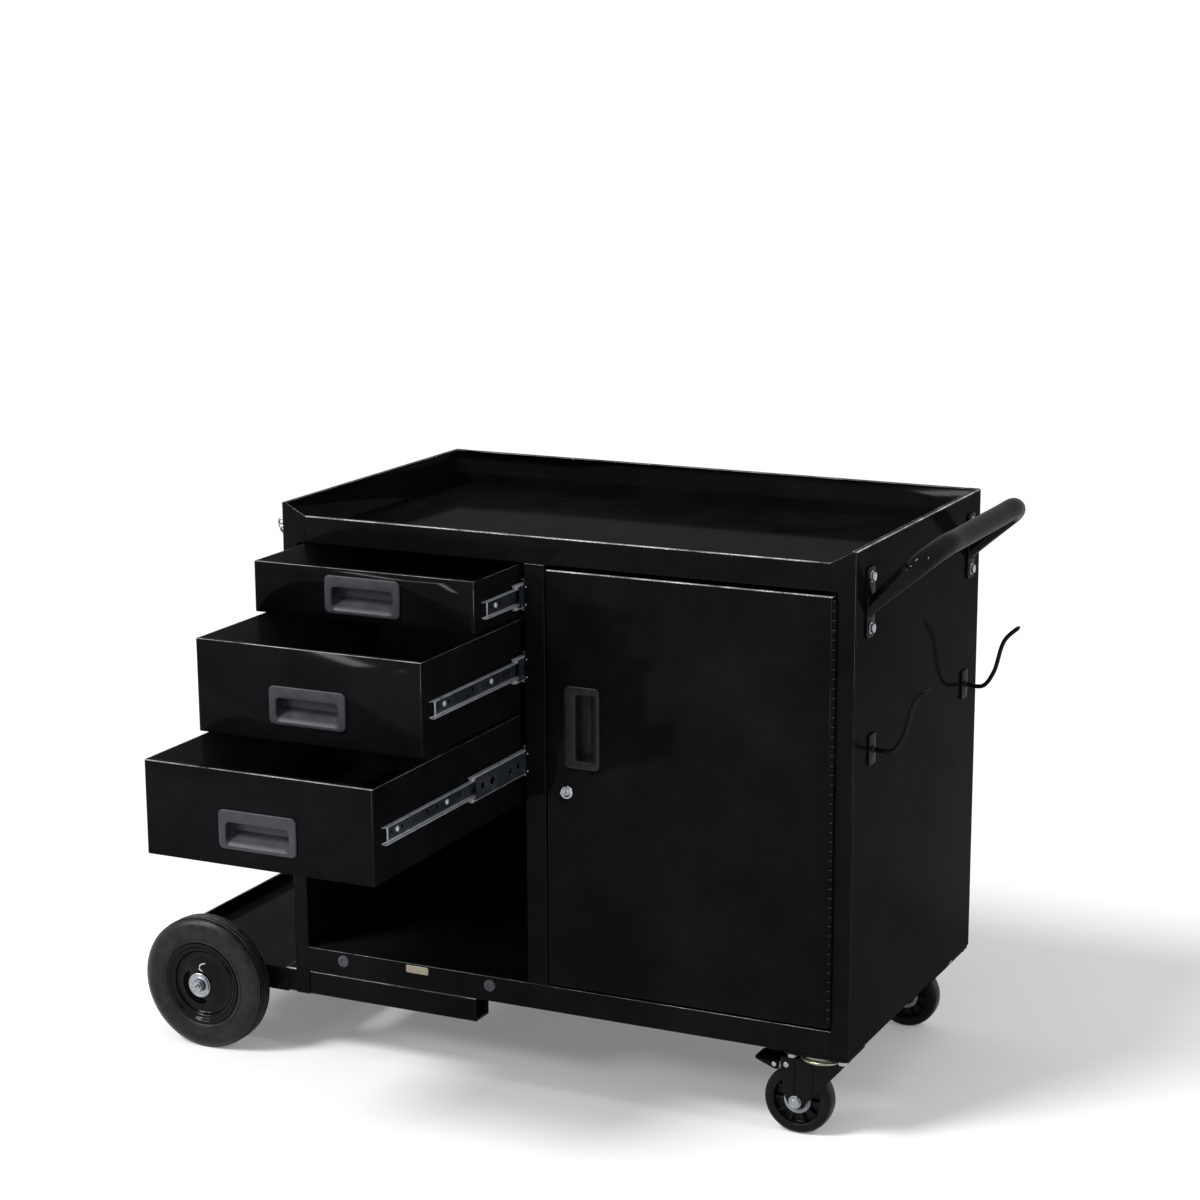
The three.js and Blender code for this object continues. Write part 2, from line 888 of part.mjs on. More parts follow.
addPiece(
  cart,
  "cylinder_tray",
  cut(
    fuse(trayPan, trayEnd, railTube(railFront), railTube(trayRear - railDepth)),
    bar(axleRadius + seam, axlePoint(-wheelSide), axlePoint(cabinetDepth + wheelSide)),
  ),
  blackPaint,
);

// Axle with a spacer, a wide washer, a nut and a thinner threaded tip at each end.
const hubOuter = wheelWidth / 2 + hubProud;
const capInner = wheelSide + hubOuter + seam;
const capOuter = capInner + capThickness;
const spacerOuter = wheelInset - seam;
const mirrorY = (y) => cabinetDepth - y;
let axle = bar(axleRadius, axlePoint(-capOuter), axlePoint(mirrorY(-capOuter)));
for (const place of [(y) => y, mirrorY]) {
  const between = (radius, from, to, sides) =>
    bar(radius, axlePoint(place(from)), axlePoint(place(to)), sides);
  axle = fuse(
    axle,
    between(capRadius, -capOuter, -capInner, discFacets),
    between(axleNutRadius, -capOuter - axleNutLength, -capInner, nutFacets),
    between(axleEndRadius, -capOuter - axleEndReach, -capInner),
    between(axleRadius + trayWall, -spacerOuter, railFront - seam),
  );
}
addPiece(cart, "wheel_axle", axle, zinc);

// Tyre: solid rubber with a rounded shoulder and three grooves.
function tyreProfile() {
  const half = wheelWidth / 2;
  const tread = [];
  for (const y of [-treadPitch, 0, treadPitch]) {
    tread.push([wheelRadius, y - treadGroove / 2]);
    tread.push([wheelRadius - treadGrooveDepth, y - treadGroove / 2]);
    tread.push([wheelRadius - treadGrooveDepth, y + treadGroove / 2]);
    tread.push([wheelRadius, y + treadGroove / 2]);
  }
  const shoulder = [
    [wheelRimRadius, half - tyreBeadInset],
    [wheelRimRadius + tyreBeadRise, half],
    ...tyreShoulder.map(([drop, step]) => [wheelRadius - drop, half - step]),
  ];
  const front = shoulder.map(([radius, y]) => [radius, -y]);
  return [...front, ...tread, ...shoulder.reverse()];
}

// Pressed-steel wheel centre: domed hub standing proud, a dished disc and a barrel for the tyre.
function rimProfile() {
  const seat = wheelRimRadius - seam;
  const half = wheelWidth / 2;
  const dish = rimDish - half;
  return [
    [axleRadius + seam, -hubOuter],
    [hubRadius, -hubOuter],
    [hubRadius + hubFillet, hubFillet / 2 - hubOuter],
    [hubRadius + rimDiscInner, dish - rimWall],
    [hubRadius + rimDiscOuter, dish],
    [seat - rimLip - rimWall, dish],
    [seat - rimLip, rimWall - half],
    [seat, rimBeadStep - half],
    [seat, half - rimBeadStep],
    [seat - rimLip, half - rimWall],
    [seat - rimLip - rimWall, dish + 2 * rimWall],
    [hubRadius + rimDiscOuter, dish + rimWall],
    [hubRadius + rimDiscInner, dish],
    [hubRadius, dish],
    [hubRadius, half],
    [axleRadius + seam, half],
  ];
}

function plainWheel(place, y, turn) {
  const wheel = new THREE.Group();
  wheel.position.set(axleX, y, wheelRadius);
  wheel.rotation.z = turn;
  cart.add(wheel);
  addPiece(wheel, `wheel_tyre_${place}`, turned(tyreProfile(), wheelFacets), rubber);
  addPiece(wheel, `wheel_rim_${place}`, turned(rimProfile(), wheelFacets), blackPaint);
}
plainWheel("front", -wheelSide, 0);
plainWheel("rear", cabinetDepth + wheelSide, Math.PI);

// Casters: fixed plate, swivelling fork with its axle bolt, wheel and brake pedal. Each is drawn
// about its swivel axis and trails towards -x.
const plateTop = cabinetBottom - seam;
const plateBottom = plateTop - casterPlateThickness;
const racewayTop = plateBottom - seam;
const forkTop = racewayTop - racewayThickness;
const forkHalf = casterWidth / 2 + forkWheelGap;
const forkBottom = casterRadius - casterBolt - forkThickness;
const pedalPivotX = -casterTrail - pedalPivotFromAxle;
const pedalPivotZ = 2 * casterRadius + pedalWheelGap;

function casterFork() {
  const legOutline = outline([
    [-casterTrail - forkLegWidth / 2, forkBottom + forkLegWidth / 2],
    [-casterTrail - forkLegWidth / 4, forkBottom],
    [-casterTrail + forkLegWidth / 4, forkBottom],
    [racewayRadius, forkTop - forkThickness],
    [racewayRadius, forkTop],
    [pedalPivotX - pedalPivotRadius - forkNeck, forkTop],
    [pedalPivotX - pedalPivotRadius - forkNeck, forkTop - forkLegWidth / 2],
  ]);
  const bridge = block(
    pedalPivotX + pedalPivotRadius + forkNeck,
    racewayRadius,
    -forkHalf,
    forkHalf,
    forkTop - forkThickness,
    forkTop,
  );
  const boltEnd = forkHalf + forkThickness + casterBolt;
  return fuse(
    prismY(legOutline, -forkHalf - forkThickness, -forkHalf),
    prismY(legOutline, forkHalf, forkHalf + forkThickness),
    bridge,
    bar(racewayRadius, [0, 0, forkTop - seam], [0, 0, racewayTop], discFacets),
    bar(
      casterBolt,
      [-casterTrail, -boltEnd, casterRadius],
      [-casterTrail, boltEnd, casterRadius],
      boltFacets,
    ),
    bar(
      casterNut,
      [-casterTrail, -boltEnd, casterRadius],
      [-casterTrail, -forkHalf - seam, casterRadius],
      nutFacets,
    ),
    bar(
      casterNut,
      [-casterTrail, boltEnd, casterRadius],
      [-casterTrail, forkHalf + seam, casterRadius],
      nutFacets,
    ),
  );
}

function casterWheelProfile() {
  const half = casterWidth / 2;
  const ring = casterRadius - casterTreadDepth;
  const side = [
    [casterBolt + seam, half + forkWheelGap - seam],
    [casterHub, half + forkWheelGap - seam],
    [casterHub, half - casterDish],
    [ring, half - casterDish],
    [ring, half],
    [casterRadius - casterCrown, half],
    [casterRadius, half - casterCrown],
  ];
  const front = side.map(([radius, y]) => [radius, -y]);
  return [...front, ...side.reverse()];
}

// The pedal's tongue runs between the fork's legs, and its pad and cheeks stand clear of them.
function brakePedal() {
  const halfBarrel = forkHalf - 2 * seam;
  const padFar = pedalPivotX - pedalLength;
  const padNear = pedalPivotX - pedalPivotRadius - forkNeck - casterBolt;
  const padTop = pedalPivotZ + pedalPivotRadius;
  const padBottom = padTop - pedalThickness;
  const cheek = outline([
    [padFar, padBottom],
    [padNear - casterBolt, padTop - pedalCheekDepth],
    [padNear, padTop - pedalCheekDepth],
    [padNear, padTop],
    [padFar, padTop],
  ]);
  return fuse(
    bar(
      pedalPivotRadius,
      [pedalPivotX, -halfBarrel, pedalPivotZ],
      [pedalPivotX, halfBarrel, pedalPivotZ],
      boltFacets,
    ),
    block(padNear, pedalPivotX, -halfBarrel, halfBarrel, padBottom, padTop),
    block(padFar, padNear, -pedalWidth / 2, pedalWidth / 2, padBottom, padTop),
    prismY(cheek, -pedalWidth / 2, pedalThickness - pedalWidth / 2),
    prismY(cheek, pedalWidth / 2 - pedalThickness, pedalWidth / 2),
  );
}

function caster(place, y) {
  const swivel = new THREE.Group();
  swivel.position.set(casterX, y, 0);
  cart.add(swivel);
  const plate = block(
    -casterPlateLength / 2,
    casterPlateLength / 2,
    -casterPlateWidth / 2,
    casterPlateWidth / 2,
    plateBottom,
    plateTop,
  );
  addPiece(swivel, `caster_plate_${place}`, plate, blackPaint);
  addPiece(swivel, `caster_fork_${place}`, casterFork(), blackPaint);
  addPiece(swivel, `caster_pedal_${place}`, brakePedal(), blackPaint);
  const wheel = new THREE.Group();
  wheel.position.set(-casterTrail, 0, casterRadius);
  swivel.add(wheel);
  addPiece(wheel, `caster_wheel_${place}`, turned(casterWheelProfile(), wheelFacets), casterRubber);
}
caster("front", casterAxisFromFront);
caster("rear", mirrorY(casterAxisFromFront));

// Push handle: the tube rises from two plates on the right panel and crosses over the rim.
const handlePlateX = cabinetWidth + seam;
const footX = handlePlateX + handlePlateThickness / 2;
const barX = cabinetWidth + handleReach;
const armRise = handleBarHeight - handleTubeRadius - handleFootHeight;
const armRun = barX - handleTubeRadius - footX;
function handleHalf(place) {
  const foot = [footX, place(handleFootFromEdge), handleFootHeight];
  const armEnd = [footX + armRun, place(handleFootFromEdge + handleArmInset), handleFootHeight + armRise];
  const along = (share) => foot.map((value, axis) => THREE.MathUtils.lerp(value, armEnd[axis], share));
  return [
    ...handleArmShares.map(along),
    [barX, place(handleFootFromEdge + handleBend), handleBarHeight],
    [barX, place(handleFootFromEdge + 2 * handleBend), handleBarHeight],
  ];
}
const handlePath = smooth([...handleHalf((y) => y), ...handleHalf(mirrorY).reverse()]);
const handleTube = wire(handlePath, handleTubeRadius, handleSteps, handleFacets);
const handlePoints = handleTube.getAttribute("position");
const armAhead = new THREE.Vector2(armRun, armRise).normalize();
for (let index = 0; index < handlePoints.count; index += 1) {
  // Press the tube thinner towards its ends, square to the arm.
  const x = handlePoints.getX(index) - footX;
  const z = handlePoints.getZ(index) - handleFootHeight;
  const ahead = x * armAhead.x + z * armAhead.y;
  const full = THREE.MathUtils.smoothstep(ahead, 0, handleEndTaper);
  const thin = THREE.MathUtils.lerp(handleEndHeight / (2 * handleTubeRadius), 1, full);
  const across = thin * (z * armAhead.x - x * armAhead.y);
  handlePoints.setX(index, footX + ahead * armAhead.x - across * armAhead.y);
  handlePoints.setZ(index, handleFootHeight + ahead * armAhead.y + across * armAhead.x);
}
const handlePlate = (y) =>
  prismX(
    roundedRectangle(handlePlateWidth, handlePlateHeight, handlePlateCorner),
    handlePlateX,
    handlePlateX + handlePlateThickness,
  ).translate([0, y, rimTop - handlePlateDrop]);
const handle = fuse(
  solidOf(handleTube).trimByPlane([1, 0, 0], footX),
  handlePlate(handleFootFromEdge),
  handlePlate(mirrorY(handleFootFromEdge)),
);
addPiece(cart, "push_handle", handle, blackPaint);

// Cable hooks: a pad on the right panel with a rod that reaches out, up and away.
function cableHook(place, y) {
  const padX = cabinetWidth + seam;
  const rod = smooth([
    [padX + hookPadThickness / 2, y, hookFootHeight],
    [padX + hookLevelReach, y, hookFootHeight],
    [padX + hookReach + hookWire, y, hookFootHeight + hookReach / 2],
    [padX + hookRiseReach, y, hookFootHeight + hookRiseHeight],
    [padX + hookTipReach, y, hookFootHeight + hookTipRise],
  ]);
  const pad = block(
    padX,
    padX + hookPadThickness,
    y - hookPadWidth / 2,
    y + hookPadWidth / 2,
    hookFootHeight - hookPadHeight / 2,
    hookFootHeight + hookPadHeight / 2,
  );
  const bent = solidOf(wire(rod, hookWire, hookSteps, hookFacets));
  addPiece(cart, `cable_hook_${place}`, fuse(pad, bent), blackPaint);
}
cableHook("front", hookFromEdge);
cableHook("rear", mirrorY(hookFromEdge));

// Chain staples: a bar along y held off the left panel by two legs.
const eyeX = -eyeStandOff;
function chainEye(place, y) {
  const near = y - eyeSpan / 2;
  const far = y + eyeSpan / 2;
  const knee = (legY) =>
    solidOf(new THREE.SphereGeometry(eyeWire, ...kneeFacets).translate(eyeX, legY, eyeHeight));
  const leg = (legY) => bar(eyeWire, [eyeX, legY, eyeHeight], [-seam, legY, eyeHeight], stapleFacets);
  const staple = fuse(
    bar(eyeWire, [eyeX, near, eyeHeight], [eyeX, far, eyeHeight], stapleFacets),
    leg(near),
    leg(far),
    knee(near),
    knee(far),
  );
  addPiece(cart, `chain_eye_${place}`, staple, zinc);
}
chainEye("front", eyeFromEdge);
chainEye("rear", mirrorY(eyeFromEdge));

// Chain: links along the curve that a chain of this length takes between its two staples, each
// turned a quarter from the last and let into its neighbours so that the row is one piece.
function hangingCurve(span, length) {
  let low = 0.05 * span;
  let high = 10 * span;
  for (let round = 0; round < curveRounds; round += 1) {
    const middle = (low + high) / 2;
    if (2 * middle * Math.sinh(span / (2 * middle)) > length) low = middle;
    else high = middle;
  }
  return high;
}

function chainLink(turnedFlat) {
  const bend = linkWidth / 2 - linkWire;
  const ring = new THREE.TorusGeometry(bend, linkWire, ...linkFacets);
  const stretch = (linkLength - linkWidth) / 2;
  const points = ring.getAttribute("position");
  for (let index = 0; index < points.count; index += 1) {
    points.setX(index, points.getX(index) + Math.sign(points.getX(index)) * stretch);
  }
  return turnedFlat ? ring.rotateX(Math.PI / 2) : ring;
}

function chainSolid() {
  const span = cabinetDepth - 2 * eyeFromEdge;
  const hang = linkLength / 2 - 2 * linkWire - eyeWire - linkPlay;
  const pitch = linkLength - 4 * linkWire + linkBite;
  const curve = hangingCurve(span, (chainLinks - 1) * pitch + 2 * hang);
  const lowest = eyeHeight - curve * (Math.cosh(span / (2 * curve)) - 1);
  const links = [];
  for (let index = 0; index < chainLinks; index += 1) {
    const y = curve * Math.asinh(((index - (chainLinks - 1) / 2) * pitch) / curve);
    const z = lowest + curve * (Math.cosh(y / curve) - 1);
    const link = chainLink(index % 2 === 0);
    link.rotateZ(Math.atan(Math.sinh(y / curve))).applyMatrix4(yzPlane);
    links.push(solidOf(link.translate(eyeX, cabinetDepth / 2 + y, z)));
  }
  return fuse(...links);
}
addPiece(cart, "cylinder_chain", chainSolid(), zinc);

// Stand the whole cart, drawers out, centred on the origin.
const whole = new THREE.Box3().setFromObject(cart, true);
const centre = whole.getCenter(new THREE.Vector3());
cart.position.set(-centre.x, -centre.y, -whole.min.z);

export default cart;
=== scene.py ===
import math

import bmesh
import bpy
import numpy as np
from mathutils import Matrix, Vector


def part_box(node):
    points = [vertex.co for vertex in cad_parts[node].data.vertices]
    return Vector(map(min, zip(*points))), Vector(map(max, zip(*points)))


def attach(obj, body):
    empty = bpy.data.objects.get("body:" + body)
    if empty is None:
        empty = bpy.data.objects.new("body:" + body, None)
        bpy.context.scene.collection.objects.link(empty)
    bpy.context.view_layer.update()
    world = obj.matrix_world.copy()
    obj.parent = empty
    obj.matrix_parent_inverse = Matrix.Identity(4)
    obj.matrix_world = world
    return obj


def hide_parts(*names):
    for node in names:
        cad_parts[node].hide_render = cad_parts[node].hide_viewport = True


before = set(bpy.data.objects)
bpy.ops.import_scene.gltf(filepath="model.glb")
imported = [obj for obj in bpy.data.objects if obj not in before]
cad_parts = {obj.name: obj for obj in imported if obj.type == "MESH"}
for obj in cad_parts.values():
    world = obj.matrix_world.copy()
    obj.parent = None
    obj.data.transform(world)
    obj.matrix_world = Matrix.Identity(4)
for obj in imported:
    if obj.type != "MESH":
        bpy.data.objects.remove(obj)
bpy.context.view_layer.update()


# Cabinet shell: 1.5 mm sheet steel, cut, folded and spot-welded, then powder coated gloss black.
# Two side panels carry the back, the pan with the front sill, the divider and the tray top. The
# channel under the right-hand end takes the casters.

def linear(colour):
    """A hex sRGB colour as the linear RGBA of a shader socket."""
    srgb = np.array([int(colour[place:place + 2], 16) for place in (1, 3, 5)]) / 255
    rgb = np.where(srgb <= 0.04045, srgb / 12.92, ((srgb + 0.055) / 1.055) ** 2.4)
    return (*rgb.tolist(), 1.0)


def add(tree, kind, **settings):
    """Adds one shader node. A capitalised setting is an input socket, in_ and a number an input by
    its place, any other a property. A socket as the value is linked to it."""
    made = tree.nodes.new("ShaderNode" + kind)
    for name, value in settings.items():
        if name.startswith("in_"):
            socket = made.inputs[int(name[3:])]
        elif name[0].isupper():
            socket = made.inputs[name.replace("_", " ")]
        else:
            setattr(made, name, value)
            continue
        if isinstance(value, bpy.types.NodeSocket):
            tree.links.new(value, socket)
        else:
            socket.default_value = value
    return made


def surface(name, dark, pale, patch, grain, gloss, relief, highlight_painted_above=False, **settings):
    """A material named for what it is. Two sRGB colours mix in patches of the given size, roughness
    runs between the two gloss values with them, and fine noise of the grain size lifts the surface by
    the relief, all in millimetres. One with a highlight painted above has its pale colour, a painted
    highlight, and its coat only where it faces up. Other settings go to the shader as they are."""
    made = bpy.data.materials.new(name)
    made.use_nodes = True
    tree = made.node_tree
    shader = tree.nodes["Principled BSDF"]
    place = add(tree, "TexCoord").outputs["Object"]
    broad = add(tree, "TexNoise", Vector=place, Scale=1000 / patch, Detail=5.0, Roughness=0.62)
    share = add(tree, "MapRange", Value=broad.outputs[0], From_Min=0.32, From_Max=0.7).outputs[0]
    # Painted highlight: the pale colour and the coat go only on faces that point up.
    if highlight_painted_above:
        facing = add(tree, "SeparateXYZ", Vector=add(tree, "NewGeometry").outputs["Normal"]).outputs["Z"]
        share = add(tree, "MapRange", Value=facing, From_Min=0.1, From_Max=0.65, To_Max=share).outputs[0]
        tree.links.new(share, shader.inputs["Coat Weight"])
    fine = add(tree, "TexNoise", Vector=place, Scale=1000 / grain, Detail=3.0, Roughness=0.55)
    tone = add(tree, "Mix", data_type="RGBA", in_0=share, in_6=linear(dark), in_7=linear(pale))
    rough = add(tree, "MapRange", Value=share, To_Min=gloss[0], To_Max=gloss[1])
    lift = add(tree, "Bump", Height=fine.outputs[0], Strength=1.0, Distance=relief / 1000)
    tree.links.new(tone.outputs[2], shader.inputs["Base Color"])
    tree.links.new(rough.outputs[0], shader.inputs["Roughness"])
    tree.links.new(lift.outputs[0], shader.inputs["Normal"])
    for socket, value in settings.items():
        shader.inputs[socket.replace("_", " ")].default_value = value
    return made


# Deep black with a thin clear gloss: panels stay dark, and the bright lines on their folded edges are a
# painted highlight.
powder_coat = surface(
    "powder_coat_gloss_black", "#09090a", "#131315", patch=160, grain=2.2, gloss=(0.42, 0.55), relief=0.012,
    Specular_IOR_Level=0.0, Coat_Weight=0.05, Coat_Roughness=0.1, Coat_IOR=1.5,
)
# Painted highlight: the bends that face up are painted pale with a clear coat, so they show as fine bright
# lines.
bend_highlight_coat = surface(
    "powder_coat_painted_highlight_on_bends", "#0d0d0f", "#c4c6ca", patch=50, grain=1.5, gloss=(0.3, 0.4), relief=0.01,
    highlight_painted_above=True, Specular_IOR_Level=0.05, Coat_Roughness=0.08,
)


def folded(node, body, bend=1.9, edge=0.45, inside=None):
    """The CAD sheet as one merged skin. Outside edges between two broad faces are rounded to the bend
    radius in millimetres and cut edges to the edge radius; inside corners stay sharp. A face's breadth
    is twice its area over the length of its outline. Faces that lie within the sheet's own box take
    the inside coat, if there is one."""
    same_place, broad, margin = 2e-6, 0.004, 0.0006
    flat_angle, fold_angle = 0.02, 0.3
    bend_slot, inside_slot = 1, 2
    sheet = bmesh.new()
    sheet.from_mesh(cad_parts[node].data)
    bmesh.ops.remove_doubles(sheet, verts=sheet.verts, dist=same_place)
    bmesh.ops.dissolve_limit(sheet, angle_limit=flat_angle, verts=sheet.verts, edges=sheet.edges)
    bmesh.ops.connect_verts_concave(sheet, faces=sheet.faces)
    weight = sheet.edges.layers.float.new("bevel_weight_edge")
    for line in sheet.edges:
        if len(line.link_faces) != 2 or line.calc_face_angle() < fold_angle:
            continue
        line.smooth = line.is_convex
        if line.is_convex:
            breadth = min(2 * face.calc_area() / face.calc_perimeter() for face in line.link_faces)
            line[weight] = 1.0 if breadth > broad else edge / bend
    mesh = bpy.data.meshes.new(node)
    sheet.to_mesh(mesh)
    sheet.free()
    mesh.polygons.foreach_set("use_smooth", np.ones(len(mesh.polygons), bool))
    mesh.materials.append(powder_coat)
    mesh.materials.append(bend_highlight_coat)
    if inside:
        mesh.materials.append(inside)
        low, high = (np.array(corner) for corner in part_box(node))
        centres = np.empty(3 * len(mesh.polygons))
        mesh.polygons.foreach_get("center", centres)
        centres = centres.reshape(-1, 3)
        enclosed = ((centres > low + margin) & (centres < high - margin)).all(axis=1)
        mesh.polygons.foreach_set("material_index", np.where(enclosed, inside_slot, 0))
    made = bpy.data.objects.new(node + "_sheet", mesh)
    bpy.context.scene.collection.objects.link(made)
    rounding = made.modifiers.new("rounding", "BEVEL")
    rounding.width = bend / 1000
    rounding.segments = 3
    rounding.limit_method = "WEIGHT"
    rounding.use_clamp_overlap = False
    rounding.harden_normals = True
    # The bends take the bend coat, which is a painted highlight where they face up.
    rounding.material = bend_slot
    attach(made, body)
    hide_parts(node)


for panel in ("left_side_panel", "right_side_panel", "back_panel", "bottom_pan", "caster_crossmember",
              "top_tray", "divider_panel", "slide_mount_panel"):
    folded(panel, "cabinet")


# Sill fittings: a nickel-plated catch strike riveted to the sill of the open bay, and two round
# moulded rubber bumpers pressed into it on either side.

shell_low = np.array(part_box("left_side_panel")[0])
origin = np.array([shell_low[0], shell_low[1], 0.0])


def millimetres(node):
    """Both corners of a CAD node's box in millimetres from the cabinet's left side, front and floor."""
    return [(np.array(corner) - origin) * 1000 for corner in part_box(node)]


def skin(loops, ring=False):
    """A stack of closed loops (stack, around, xyz) as quads between neighbours. The last loop of a
    ring meets its first; otherwise the first and last loop are capped."""
    stack, around = loops.shape[:2]
    row, column = np.meshgrid(np.arange(stack if ring else stack - 1), np.arange(around), indexing="ij")
    below, beside = (row + 1) % stack, (column + 1) % around
    here, under = row * around, below * around
    corners = [here + column, here + beside, under + beside, under + column]
    faces = np.stack(corners, -1).reshape(-1, 4).tolist()
    if not ring:
        faces += [list(range(around)), list(range((stack - 1) * around, stack * around))]
    return loops.reshape(-1, 3), faces


def turned(profile, centre, axis, ring=False, sides=64):
    """A profile of radius and distance along the axis, turned about it: centre + distance * axis +
    radius * (cos, sin) across it."""
    axis = np.array(axis, float)
    across = np.roll(np.abs(axis), 1)
    other = np.cross(axis, across)
    radius, distance = np.array(profile, float).T[..., None, None]
    turn = np.linspace(0, 2 * np.pi, sides, endpoint=False)[None, :, None]
    circle = np.cos(turn) * across + np.sin(turn) * other
    return skin(np.array(centre) + distance * axis + radius * circle, ring)


def slab(outline, low, high, edge, axes=(0, 2, 1)):
    """A flat outline (u, v) as a plate from low to high, its rim drawn in by edge at both faces. The
    axes name where u, v and the thickness go."""
    outline = np.array(outline, float)
    ahead = np.roll(outline, -1, 0) - np.roll(outline, 1, 0)
    ahead /= np.linalg.norm(ahead, axis=1, keepdims=True)
    u, v = outline.T
    area = np.sum(u * np.roll(v, -1) - v * np.roll(u, -1))
    inward = np.stack([-ahead[:, 1], ahead[:, 0]], -1) * np.sign(area)
    part = 0.3 * edge
    steps = [(edge, low), (part, low + part), (0, low + edge)]
    steps += [(0, high - edge), (part, high - part), (edge, high)]
    loops = np.zeros((len(steps), len(outline), 3))
    for loop, (step, level) in zip(loops, steps):
        loop[:, axes[:2]] = outline + step * inward
        loop[:, axes[2]] = level
    return skin(loops)


def rounded(corners, radius, count=6):
    """An outline whose corners are replaced by curves that start and end at the radius from them: each
    point is a share's blend of start, corner and end."""
    corners = np.array(corners, float)
    reach = np.broadcast_to(np.array(radius, float), len(corners))[:, None]
    before, after = np.roll(corners, 1, 0) - corners, np.roll(corners, -1, 0) - corners
    start = corners + reach * before / np.linalg.norm(before, axis=1, keepdims=True)
    end = corners + reach * after / np.linalg.norm(after, axis=1, keepdims=True)
    share = np.linspace(0, 1, count)[None, :, None]
    rest = 1 - share
    curve = rest ** 2 * start[:, None] + 2 * share * rest * corners[:, None] + share ** 2 * end[:, None]
    return curve.reshape(-1, 2)


def rectangle(low_u, high_u, low_v, high_v, radius, count=6):
    """A rounded rectangle's outline."""
    return rounded([(low_u, low_v), (high_u, low_v), (high_u, high_v), (low_u, high_v)], radius, count)


def piece(name, shells, coat, slot, body, *stands_for, sharp=38):
    """One object from closed shells in cabinet millimetres, outward normals, smooth but for edges over
    the sharp angle."""
    points = np.concatenate([shell[0] for shell in shells])
    starts = np.cumsum([0] + [len(shell[0]) for shell in shells])
    faces = [
        [start + corner for corner in face] for start, shell in zip(starts, shells) for face in shell[1]
    ]
    mesh = bpy.data.meshes.new(name)
    mesh.from_pydata(origin + points / 1000, [], faces)
    whole = bmesh.new()
    whole.from_mesh(mesh)
    bmesh.ops.recalc_face_normals(whole, faces=whole.faces)
    whole.to_mesh(mesh)
    whole.free()
    mesh.polygons.foreach_set("use_smooth", np.ones(len(mesh.polygons), bool))
    mesh.set_sharp_from_angle(angle=math.radians(sharp))
    mesh.materials.append(coat)
    made = bpy.data.objects.new(name, mesh)
    bpy.context.scene.collection.objects.link(made)
    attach(made, body)
    if stands_for:
        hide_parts(*stands_for)


def button(radius, height, centre, axis, sides=24):
    """A domed head standing on a surface: straight for a third of its height, then a quarter ellipse."""
    rise = np.linspace(0, np.pi / 2, 7)
    profile = [(radius, -0.3), *zip(radius * np.cos(rise) + 0.02, height * (0.3 + 0.7 * np.sin(rise)))]
    return turned(profile, centre, axis, sides=sides)


# Warm dull plating on a stamped strike.
nickel_plate = surface(
    "nickel_plated_stamping", "#7f786c", "#a09889", patch=12, grain=0.9, gloss=(0.3, 0.42), relief=0.02,
    Metallic=1.0,
)
# Mid-grey soft rubber, dulled by dust.
bumper_rubber = surface(
    "moulded_grey_rubber", "#323337", "#46474c", patch=6, grain=0.7, gloss=(0.55, 0.72), relief=0.03,
    Specular_IOR_Level=0.35,
)

catch_low, catch_high = millimetres("bay_catch")
strike_front, rivet_inset = catch_low[1] + 0.9, 6
strike = rectangle(catch_low[0], catch_high[0], catch_low[2], catch_high[2], 2.5)
strike_shells = [slab(strike, strike_front, catch_high[1], 0.4)]
for place in (catch_low[0] + rivet_inset, catch_high[0] - rivet_inset):
    rivet_centre = (place, strike_front + 0.05, (catch_low[2] + catch_high[2]) / 2)
    strike_shells.append(button(2.2, 0.9, rivet_centre, (0, -1, 0)))
piece("bay_catch_strike", strike_shells, nickel_plate, "nickel", "cabinet", "bay_catch")

sill_front = millimetres("bottom_pan")[0][1]
bumper_places, bumper_level = (85, 335), 158
bumper_profile = [(9.2, 0.1), (9.2, 1.6), (8.6, 2.6), (7.0, 3.2), (4.2, 3.3), (3.6, 2.2), (0.1, 2.1)]
bumpers = [
    turned(bumper_profile, (place, sill_front, bumper_level), (0, -1, 0), sides=40)
    for place in bumper_places
]
piece("sill_bumpers", bumpers, bumper_rubber, "tyre", "cabinet")


# Drawers: each a folded sheet box on a pair of three-piece ball-bearing slides, with a moulded pull
# clipped into the front. Zinc screws hold the slides' inner channels to the box sides.

# Satin moulded plastic, a little cool, its gloss slightly uneven.
grey_plastic = surface(
    "moulded_grey_plastic", "#28292e", "#36373d", patch=20, grain=0.6, gloss=(0.34, 0.46), relief=0.012,
    Specular_IOR_Level=0.3,
)
# Bright zinc plating on fasteners, wire and axles, hardly patterned.
zinc_plate = surface(
    "zinc_plated_steel", "#85898e", "#abafb4", patch=20, grain=2, gloss=(0.2, 0.28), relief=0.001,
    Metallic=1.0,
)
# Zinc on the rolled lips, painted pale as a highlight: a light grey line along the slide.
highlight_painted_zinc = surface(
    "zinc_plated_lips_painted_highlight", "#b4b8bd", "#d6dade", patch=20, grain=2, gloss=(0.26, 0.36), relief=0.001,
    Metallic=0.6,
)
# Zinc painted dark on the webs and the hinge pin: a painted dark reflection, a smooth dark blue-grey.
dark_painted_zinc = surface(
    "zinc_plated_steel_painted_dark", "#272c32", "#424a53", patch=40, grain=3, gloss=(0.2, 0.3), relief=0.001,
    Metallic=0.5,
)


